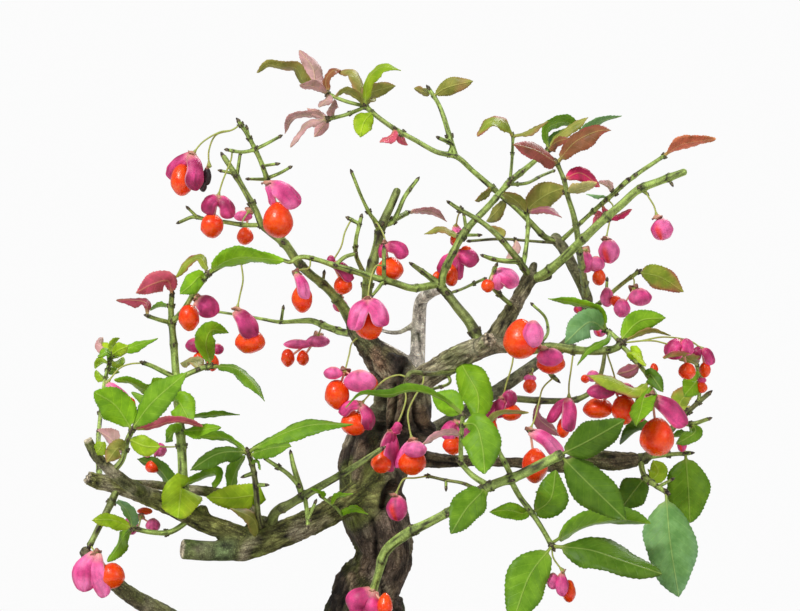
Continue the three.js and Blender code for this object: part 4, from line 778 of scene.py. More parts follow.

# The bark: ribs, folds and cracks drawn out along the grain, with painted shade in the
# furrows and painted light on the ridges, pale lichen, moss on what faces up, and on a sawn
# end the rings and splinters of bare wood.
for i in range(count):
    point, (name, middle, way, side, across, radius, length) = bark_points[i], on_line[i]
    base, mossy, rough = kinds_at[i, :3], kinds_at[i, 3], kinds_at[i, 4] * seam_fade[i]
    at_point, off = Vector(point), point - middle
    turn = math.atan2(off.dot(across), off.dot(side))
    along = length + off.dot(way)
    grain = 0.0005 + radius * 0.3
    at = Vector((math.cos(turn) * radius / grain, math.sin(turn) * radius / grain,
                 along / grain * 0.33 + 17 * (len(name) % 5)))
    ribs = 1 - 2.2 * abs(noise.noise(at * 0.9))
    folds = noise.noise(at * 2.1 + Vector((5, 1, 2)))
    crumbs = noise.noise(at_point * 900)
    cracked = 1 - 3.0 * abs(noise.noise(at * 3.4 + Vector((2, 8, 1))))
    height = 0.5 * ribs + 0.55 * folds + 0.12 * cracked + 0.2 * crumbs
    relief[i] = height = height * (0.3 + 0.7 * seam_fade[i])
    lift[i] = rough * (0.095 * radius + 0.00014) * (height - 0.35) * min(radius / 0.0012, 1)
    grain_places[i] = (math.cos(turn) * radius, math.sin(turn) * radius,
                       along * 0.4 + 0.07 * (len(name) % 5))
    # Painted shade and light: the colour goes to a dark shade colour in the furrows and grows
    # lighter on the ridges, by the relief height.
    shade = kept_in(0.46 + 1.0 * height + 0.3 * noise.noise(at_point * 260), 0, 1.25)
    tone = np.array(bark_furrow_shade) * (1 - shade) + base * shade if shade < 1 else base * shade
    if name in ("trunk", "bulge"):
        tone = tone * kept_in(0.74 + 1.8 * noise.noise(at_point * 85), 0.3, 1.25)
    lichen = noise.noise(at_point * 190 + Vector((9, 9, 9))) * 2.2 + 0.25 * height - 0.45
    lichen = kept_in(lichen, 0, 0.75) * min(rough + 0.35, 1) * (0.6 if mossy > 0.5 else 1)
    tone = toward(tone, bark_pale, lichen)
    moss_here = mossy + 0.35 * bark_ways[i, 2] + 1.6 * noise.noise(at_point * 140) - 0.42
    moss_here = kept_in(moss_here * 1.1, 0, 0.6) * (0.6 + 0.5 * max(height, 0))
    moss_tone = np.array(bark_moss) * (0.7 + 0.5 * max(crumbs + 0.3, 0))
    tones[i] = toward(tone, moss_tone, moss_here)
    lift[i] += moss_here * 0.00012
    if name in sawn_ends:
        end, end_way, end_radius = sawn_ends[name]
        past = (point - end).dot(end_way)
        if past / end_radius > -0.3 and bark_ways[i].dot(end_way) > 0.25:
            reach = np.linalg.norm(point - end - end_way * past) / end_radius
            splinter = noise.noise(at_point * 1700) + 0.5 * noise.noise(at_point * 700)
            face_shade = kept_in(0.7 + 0.4 * math.sin(reach * 16) + 1.5 * splinter, 0.06, 1.3)
            tones[i] = toward(tones[i], np.array(sawn_pale) * face_shade,
                              kept_in((1.02 - reach) * 5, 0, 1))
            lift[i] = 0.0005 * splinter * rough

depth_off = bark_points[:, 1] * 1000 + eye_distance
pixels = np.c_[middle_across + bark_points[:, 0] * 1000 * focal_pixels / depth_off,
               middle_down - (bark_points[:, 2] * 1000 - eye_height) * focal_pixels / depth_off]
toward_eye = np.array((0, -eye_distance, eye_height)) / 1000 - bark_points
facing = np.clip((bark_ways * toward_eye).sum(1) / np.linalg.norm(toward_eye, axis=1) * 3, 0, 1)
for line, half, push, colour in carvings:
    line = np.array(line, float)
    nearest = np.full(count, 1e9)
    for a, b in zip(line, line[1:]):
        step = b - a
        t = np.clip(((pixels - a) @ step) / step.dot(step), 0, 1)
        nearest = np.minimum(nearest, np.linalg.norm(pixels - a - t[:, None] * step, axis=1))
    part = np.clip(1 - (nearest / half) ** 2, 0, 1) ** 1.5 * facing
    lift += part * push * carving_depth / 1000
    blur = np.clip(1.35 - nearest / half, 0, 1) * facing * 0.85
    # Painted shade and light: a carving's colour is darker where the relief is low and lighter
    # where it is high.
    shaded = np.array(paint(*colour)) * (0.75 + 0.4 * np.clip(relief + 0.3, 0, 1))[:, None]
    tones = toward(tones, shaded, blur[:, None])

bark_points += bark_ways * lift[:, None]
wood_piece.data.vertices.foreach_set("co", bark_points.astype(np.float32).ravel())
tone = wood_piece.data.color_attributes.new("tone", "FLOAT_COLOR", "POINT")
roughness_left = kinds_at[:, 4] * (0.3 + 0.7 * seam_fade)
tone.data.foreach_set("color", np.c_[tones, roughness_left].astype(np.float32).ravel())
grain_way = wood_piece.data.attributes.new("grain", "FLOAT_VECTOR", "POINT")
grain_way.data.foreach_set("vector", grain_places.astype(np.float32).ravel())
wood_piece.data.update()
bpy.ops.object.shade_smooth()

old_bark, add, feed = new_finish("old_bark", Specular_IOR_Level=0.3)
bark_wear = weathered(add, 0.0021, 0.00035)
along_grain = add("ShaderNodeAttribute", attribute_name="grain").outputs["Vector"]
wander = add("ShaderNodeTexNoise", {"Vector": along_grain, "Scale": 700.0, "Detail": 3.0})
shifted = add("ShaderNodeVectorMath", {0: wander.outputs["Color"], 1: (0.0011,) * 3,
                                       2: along_grain}, operation="MULTIPLY_ADD").outputs[0]
plates = add("ShaderNodeTexVoronoi", {"Vector": shifted, "Scale": 780.0},
             feature="DISTANCE_TO_EDGE")
crack = add("ShaderNodeMapRange", {0: plates.outputs["Distance"], 1: 0.0, 2: 0.16}).outputs[0]
drawn_out = add("ShaderNodeVectorMath", {0: along_grain, 1: (1, 1, 0.3)},
                operation="MULTIPLY").outputs[0]
fibre = add("ShaderNodeTexNoise", {"Vector": drawn_out, "Scale": 2600.0, "Detail": 3.0})
fibre_light = add("ShaderNodeMapRange", {0: fibre.outputs["Fac"], 1: 0.35, 2: 0.65}).outputs[0]
carried = add("ShaderNodeAttribute", attribute_name="tone")
rough_here, plain = carried.outputs["Alpha"], (1.0, 1.0, 1.0)
grey = blend_colours(add, bark_wear["Patches"], (0.5, 0.47, 0.45), (1.3, 1.28, 1.24))
flecked = blend_colours(add, bark_wear["Specks"], grey, (1.9, 1.88, 1.8))
lined = blend_colours(add, rough_here, plain, blend_colours(
    add, fibre_light, (0.58, 0.55, 0.52), (1.3, 1.3, 1.28)))
# Painted shade: the bark is darkened in its cracks, where they are also bumped down.
cracked = blend_colours(add, rough_here, plain, blend_colours(
    add, crack, (0.6, 0.57, 0.54), (1.05, 1.05, 1.05)))
wear_and_crack_shade = blend_colours(add, 1.0, blend_colours(add, 1.0, flecked, lined, "MULTIPLY"), cracked,
                     "MULTIPLY")
feed("Base Color", blend_colours(add, 1.0, carried.outputs["Color"], wear_and_crack_shade, "MULTIPLY"))
feed("Roughness", dulled(add, bark_wear, 0.66, 0.88))
fibre_relief = bumped(add, fibre.outputs["Fac"], 0.00016)
crack_relief = bumped(add, sums(add, "MULTIPLY", crack, rough_here), 0.00012, fibre_relief)
feed("Normal", bumped(add, bark_wear["Height"], 0.00025, crack_relief))
wood_piece.data.materials.clear()
wood_piece.data.materials.append(old_bark)
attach(wood_piece, "root")
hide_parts("trunk_and_limbs")


# The young twigs: smooth green shoots with brown-black rings and paired buds where leaves stood.
# They grow from the old limbs, and each spray of them is one piece with its leaves and fruit.
# Each twig: what it grows from, its path as pixels and depth, and its widths in pixels.
green_twigs = {
    "D": ("trunk", [(348, 333, 8), (330, 328, 14), (312, 321, 18), (300, 321, 20), (280, 322, 22),
        (262, 319, 24), (245, 316, 26), (219, 312, 28)], [9, 8, 7, 4.5, 3.5, 3]),
    "Ra": ("R", [(455, 370, -6), (440, 373, -10), (428, 374, -14), (410, 373, -16),
        (404, 388, -16)], [6, 4]),
    "N": ("M", [(512, 306, -5), (500, 295, -9), (490, 283, -11), (493, 273, -12),
        (496, 266, -13)], [5, 4]),
    "W": ("R2", [(586, 314, 27), (600, 303, 26), (608, 296, 24), (622, 284, 20), (638, 272, 18)],
        [5, 4]),
    "LSH": ("LL", [(342, 515, -8), (336, 508, -16), (330, 503, -18), (322, 497, -18)], [4, 3]),
    "LT": ("LL2", [(188, 520, -14), (170, 532, -16), (150, 532, -17), (133, 528, -18)], [6, 5]),
    "LS": ("LL2", [(118, 488, -15), (110, 505, -17), (100, 525, -19), (90, 545, -20)], [8, 6]),
    "LK": ("LL2", [(100, 482, -15), (98, 450, 0), (100, 420, 12), (105, 380, 20), (112, 355, 24)],
        [6, 4]),
    "C": ("LL2", [(184, 505, -14), (183, 480, -12), (182, 455, -10), (180, 425, -9),
        (178, 400, -8), (176, 375, -8), (174, 348, -8), (172, 325, -9), (171, 308, -9),
        (172, 295, -9)], [12, 11, 10, 9.5, 9, 8.5, 8, 7, 6, 5]),
    "C2": ("C", [(173, 322, -9), (182, 312, -12), (191, 298, -14), (200, 285, -16),
        (208, 274, -17)], [6, 5]),
    "C3": ("C", [(172, 323, -9), (160, 320, -11), (148, 316, -13)], [5, 4]),
    "C4": ("C", [(176, 378, -8), (164, 372, -9), (152, 366, -10), (144, 363, -11)], [6, 4]),
    "C5": ("C", [(177, 380, -8), (190, 373, -8), (203, 368, -8), (212, 366, -8)], [6, 4]),
    "C6": ("C2", [(208, 275, -17), (228, 264, -16), (246, 262, -14)], [4, 3]),
    "B": ("trunk", [(352, 322, 0), (340, 303, -2), (325, 286, -4), (310, 274, -5), (297, 261, -6),
        (285, 244, -6), (270, 232, -6), (262, 225, -6), (256, 211, -6), (246, 193, -5),
        (235, 174, -4), (224, 157, -3)], [13, 10, 9, 9, 9.5, 9, 8, 7, 6.5, 6, 6, 5.5]),
    "A": ("B", [(285, 240, -6), (279, 218, -5), (272, 195, -6), (266, 176, -8), (261, 162, -9),
        (255, 149, -10), (247, 134, -11), (239, 122, -12)], [6, 4]),
    "A1": ("A", [(255, 150, -10), (242, 152, -12), (228, 150, -14)], [4, 3.5]),
    "Bs": ("B", [(262, 225, -6), (245, 225, -5), (225, 222, -4), (205, 219, -3), (193, 217, -2),
        (180, 222, -1)], [5, 3.5]),
    "G": ("R", [(482, 348, -7), (470, 323, -6), (458, 308, -5), (447, 294, -4), (437, 283, -4),
        (427, 275, -5), (413, 265, -6)], [12, 11, 10, 9, 8, 6, 4.5]),
    "E": ("G", [(437, 285, -4), (412, 288, -7), (395, 283, -8), (380, 279, -9), (366, 275, -10),
        (350, 270, -11), (333, 265, -12), (318, 260, -13), (301, 257, -14), (290, 262, -14),
        (283, 260, -14)], [8, 6, 4]),
    "Eup": ("E", [(384, 280, -9), (384, 265, -12), (384, 249, -13)], [4.5, 4]),
    "F0": ("E", [(335, 265, -12), (345, 257, -11), (354, 254, -10)], [4.5, 4]),
    "J": ("G", [(441, 288, -4), (443, 275, -5), (448, 263, -6), (456, 247, -7), (464, 233, -7),
        (475, 220, -6), (484, 211, -5), (495, 199, -3), (505, 187, -1), (511, 180, 0)], [8, 6]),
    "J1": ("J", [(510, 181, 0), (512, 160, 2), (513, 136, 3)], [3.4, 3]),
    "J2": ("J", [(510, 181, 0), (524, 170, 3), (536, 160, 6), (548, 150, 9)], [7, 4]),
    "H": ("trunk", [(366, 338, 5), (367, 318, 6), (367, 298, 5), (368, 280, 5), (373, 262, 5),
        (378, 243, 5), (380, 231, 5), (386, 216, 6), (392, 203, 7), (397, 191, 8)],
        [12, 11, 10, 9, 8]),
    "H2": ("H", [(379, 232, 5), (375, 221, 3), (370, 214, 1), (362, 198, -1), (352, 173, -3)],
        [6, 5, 4, 3.5, 3.5]),
    "H3": ("H", [(383, 226, 5), (392, 222, 7), (398, 212, 8), (404, 198, 9), (410, 189, 10),
        (417, 180, 11)], [6, 4]),
    "H3b": ("H3", [(394, 221, 7), (407, 213, 13)], [6, 5]),
    "F1": ("H", [(364, 285, 4), (362, 270, -1), (356, 255, -5), (356, 240, -8), (359, 226, -8),
        (361, 218, -8)], [5, 4]),
    "F1a": ("F1", [(360, 224, -8), (350, 219, -8)], [4]),
    "K": ("M", [(527, 276, -3), (519, 261, -6), (511, 251, -8), (503, 241, -9), (495, 233, -10),
        (483, 223, -11), (470, 215, -12), (459, 209, -13), (450, 203, -14)], [7.5, 3.8]),
    "O": ("K", [(518, 262, -6), (505, 261, -8), (493, 259, -9), (484, 256, -10)], [6, 4]),
    "Q": ("K", [(523, 268, -4), (525, 255, -2), (527, 240, 0), (528, 222, 3), (527, 212, 4)],
        [5, 4]),
    "S": ("P", [(557, 243, 26), (545, 237, 24), (532, 224, 22), (515, 207, 21), (495, 190, 20),
        (473, 171, 20), (457, 157, 20), (437, 152, 21), (415, 140, 23), (395, 129, 25),
        (378, 117, 26), (365, 106, 27)], [6.5, 4.8]),
    "S1": ("S", [(365, 107, 27), (345, 101, 28), (328, 94, 29)], [4]),
    "S2": ("S", [(365, 108, 27), (345, 115, 27), (328, 119, 27)], [4]),
    "S3": ("S", [(456, 156, 20), (450, 138, 22), (443, 115, 24), (438, 103, 25), (429, 89, 26)],
        [6, 4]),
    "P2": ("P", [(560, 242, 26), (576, 227, 24), (598, 207, 22), (612, 195, 20), (627, 181, 18)],
        [5.5, 4.5, 4.5, 4.5, 5.5]),
    "P3": ("P2", [(622, 186, 19), (640, 172, 20), (655, 162, 21), (664, 156, 22)], [5, 4]),
    "U": ("M", [(538, 277, -3), (557, 264, -6), (578, 244, -9), (600, 223, -12), (622, 204, -14),
        (638, 190, -15), (660, 181, -17), (684, 172, -19)], [11, 7.5]),
    "V": ("P", [(586, 296, 26), (584, 280, 18), (581, 262, 9), (579, 248, 2), (577, 232, -1),
        (573, 213, -2), (568, 197, -3), (564, 180, -4), (557, 163, -4)], [8, 4]),
    "X": ("R", [(500, 346, -8), (530, 350, -12), (552, 347, -13), (575, 350, -14),
        (600, 351, -14), (616, 348, -14), (622, 343, -14)], [10, 9, 8.5, 8.5, 8, 7, 6]),
    "X0": ("X", [(550, 348, -13), (550, 373, -13), (557, 380, -13)], [5, 4]),
    "X1": ("X", [(621, 343, -14), (612, 334, -13), (605, 330, -12)], [5, 4]),
    "X3": ("X", [(620, 344, -14), (634, 358, -15), (645, 372, -16), (653, 384, -17)], [5, 4]),
    "Y": ("Rr", [(622, 461, 4), (645, 458, 4), (662, 440, 6), (680, 420, 6), (692, 408, 5),
        (708, 394, 4)], [14, 10, 8, 6, 5, 5]),
    "Y2": ("Y", [(678, 423, 6), (692, 424, 3), (708, 419, 2)], [5, 4]),
    "Y3": ("Y", [(698, 402, 5), (700, 385, 3), (697, 365, 0)], [4]),
    "Y4": ("Y", [(645, 458, 4), (665, 455, 4), (690, 453, 4)], [5, 4]),
    "YY": ("Y", [(640, 459, 4), (645, 477, 0), (658, 487, -4), (666, 492, -6)], [6, 5]),
    "FB": ("trunk", [(362, 640, -4), (364, 625, -14), (370, 602, -20), (378, 575, -24),
        (386, 551, -26), (405, 535, -28), (430, 522, -30), (452, 510, -31), (475, 494, -32),
        (495, 484, -32), (515, 477, -32), (538, 466, -32), (560, 455, -32)],
        [8, 8, 7.5, 8, 10, 11, 9.5, 9, 9, 9.5, 10, 10, 9]),
    "FB2": ("FB", [(490, 487, -32), (472, 475, -31), (460, 462, -30)], [7, 5]),
    "FE": ("FB2", [(461, 463, -30), (461, 440, -33), (463, 415, -36)], [5, 4]),
    "FB3": ("FB", [(512, 478, -32), (506, 465, -30), (499, 452, -29)], [6, 5]),
    "FC": ("FB", [(510, 479, -32), (520, 497, -30), (532, 513, -29), (543, 530, -28),
        (552, 546, -28)], [6, 5]),
    "FD": ("FB", [(480, 490, -32), (462, 483, -24), (445, 480, -20), (428, 476, -18)], [4, 3]),
    "LB": ("LL", [(272, 528, -12), (276, 512, -18), (290, 504, -20), (312, 491, -21),
        (335, 478, -22), (357, 465, -22), (380, 450, -22)], [13, 12, 10.5, 9.5, 8.5, 7, 6]),
    "LB2": ("LB", [(302, 496, -20), (297, 478, -20), (293, 464, -20), (291, 454, -20)], [7, 4]),
    "LB3": ("LB2", [(299, 486, -20), (288, 474, -22), (266, 459, -24)], [5, 4]),
    "VL": ("LL", [(262, 530, -14), (258, 515, -19), (257, 500, -21), (255, 480, -23),
        (252, 464, -25), (248, 452, -27)], [7, 5]),
    "LM": ("LF", [(112, 472, -25), (122, 460, -26), (127, 442, -28), (132, 430, -29)], [7, 5]),
}
sprays = {
    "spray_left_upright": "C C2 C3 C4 C5 C6",
    "spray_upper_left": "B A A1 Bs",
    "spray_centre": "G E Eup F0 J J1 J2",
    "spray_crown": "H H2 H3 H3b F1 F1a",
    "spray_centre_right": "K O Q",
    "spray_crown_back": "S S1 S2 S3",
    "spray_back_right": "P2 P3",
    "spray_right_high": "U",
    "spray_right_tall": "V",
    "spray_right_middle": "X X0 X1 X3",
    "spray_right_low": "Y Y2 Y3 Y4 YY",
    "spray_front_low": "FB FB2 FE FB3 FC FD",
    "spray_left_inner": "LB LB2 LB3",
    "spray_left_front": "VL",
    "spray_left_low": "LM",
}
spurs = {
    "A2": ("A", [(256, 149, -10), (268, 143, -9), (279, 137, -8)], [4, 3]),
    "A3": ("A", [(265, 180, -8), (249, 179, -11)], [4, 3]),
    "A4": ("A", [(268, 178, -8), (280, 173, -7), (289, 168, -6)], [4, 3]),
    "A5": ("A", [(249, 138, -11), (247, 129, -11)], [3, 2.5]),
    "A6": ("A", [(265, 165, -9), (276, 164, -9)], [1.2, 1]),
    "B1": ("B", [(237, 177, -4), (240, 155, -4)], [4, 3.5]),
    "B2": ("B", [(233, 175, -4), (222, 171, -4)], [4, 3]),
    "B3": ("B", [(323, 284, -4), (324, 274, -4)], [2.5, 2]),
    "Bs1": ("Bs", [(198, 218, -2), (189, 209, -3)], [3.5, 3]),
    "D1": ("D", [(281, 321, 22), (283, 309, 22)], [3.5, 3]),
    "E1": ("E", [(384, 281, -9), (377, 290, -11), (372, 296, -12)], [4, 3]),
    "Ja": ("J", [(466, 230, -7), (464, 215, -7)], [4, 3]),
    "Jb": ("J", [(466, 237, -7), (478, 235, -7)], [4, 3]),
    "J3": ("J", [(507, 184, 0), (527, 183, 6), (541, 176, 12), (553, 171, 16)], [4, 3]),
    "G1": ("G", [(447, 294, -4), (462, 289, 4), (475, 283, 8), (484, 279, 10)], [3, 2]),
    "Ua": ("U", [(641, 188, -15), (646, 193, -15)], [5, 4]),
    "Ub": ("U", [(668, 178, -18), (671, 183, -18)], [4, 3]),
    "X4": ("X", [(624, 348, -12), (633, 360, -12), (642, 369, -10)], [4, 3]),
    "X5": ("X", [(530, 350, -12), (545, 338, -4), (548, 330, 0), (545, 317, 3), (533, 305, 6)],
        [4, 3]),
    "YYa": ("YY", [(658, 487, -4), (671, 480, -4)], [4, 3]),
    "FDa": ("FD", [(446, 480, -20), (446, 487, -20)], [3, 2.5]),
    "LB4": ("LB", [(305, 496, -20), (307, 512, -24), (308, 525, -26)], [5, 4]),
    "LB5": ("LB4", [(308, 520, -25), (315, 503, -26)], [3, 2]),
    "VLa": ("VL", [(256, 485, -23), (265, 485, -23)], [5, 4]),
    "VLb": ("VL", [(254, 473, -24), (245, 476, -24)], [5, 4]),
    "S3b": ("S", [(452, 145, 21), (439, 138, 18)], [6, 4]),
    "P1": ("P", [(557, 245, 26), (530, 241, 20), (500, 239, 15), (470, 241, 10)], [2, 1.5]),
    "R1": ("R", [(450, 382, -6), (430, 390, -8)], [4, 3]),
}
stems.update(green_twigs)
stems.update(spurs)
green_shoot, brown_shoot = paint(148, 172, 88), paint(94, 90, 62)
scar_tone, bud_dark, bud_pale = paint(40, 31, 25), paint(42, 33, 27), paint(168, 156, 120)
least_shoot, joint_gap, even_gap = 0.0007, 0.0035, 0.0095
brown_stems = {"P1": 0.8, "B3": 0.9, "FD": 0.6, "X": 0.15, "Y": 0.7, "VL": 0.75, "G": 0.4,
               "H": 0.4, "Ra": 0.6, "BB": 0.6, "V": 0.3, "N": 0.3, "B": 0.2, "LS": 0.5,
               "LM": 0.3, "X0": 0.5, "S": 0.2, "K": 0.2, "LB": 0.45}

spray_of = {stem: spray for spray, members in sprays.items() for stem in members.split()}
for name, (parent, _, _) in spurs.items():
    spray_of[name] = spray_of.get(parent, "loose")


def in_spray(stem):
    return spray_of.get(stem, "loose")


# The pieces of one kind, one for each spray. What has no spray of its own is the trunk's.
def make_in_sprays(kind, parts_of, finish, slot):
    for spray, parts in parts_of.items():
        node = "trunk_and_limbs" if spray == "loose" else spray
        make_piece(f"{kind}_{spray.replace('spray_', '')}", parts, finish, slot, node)


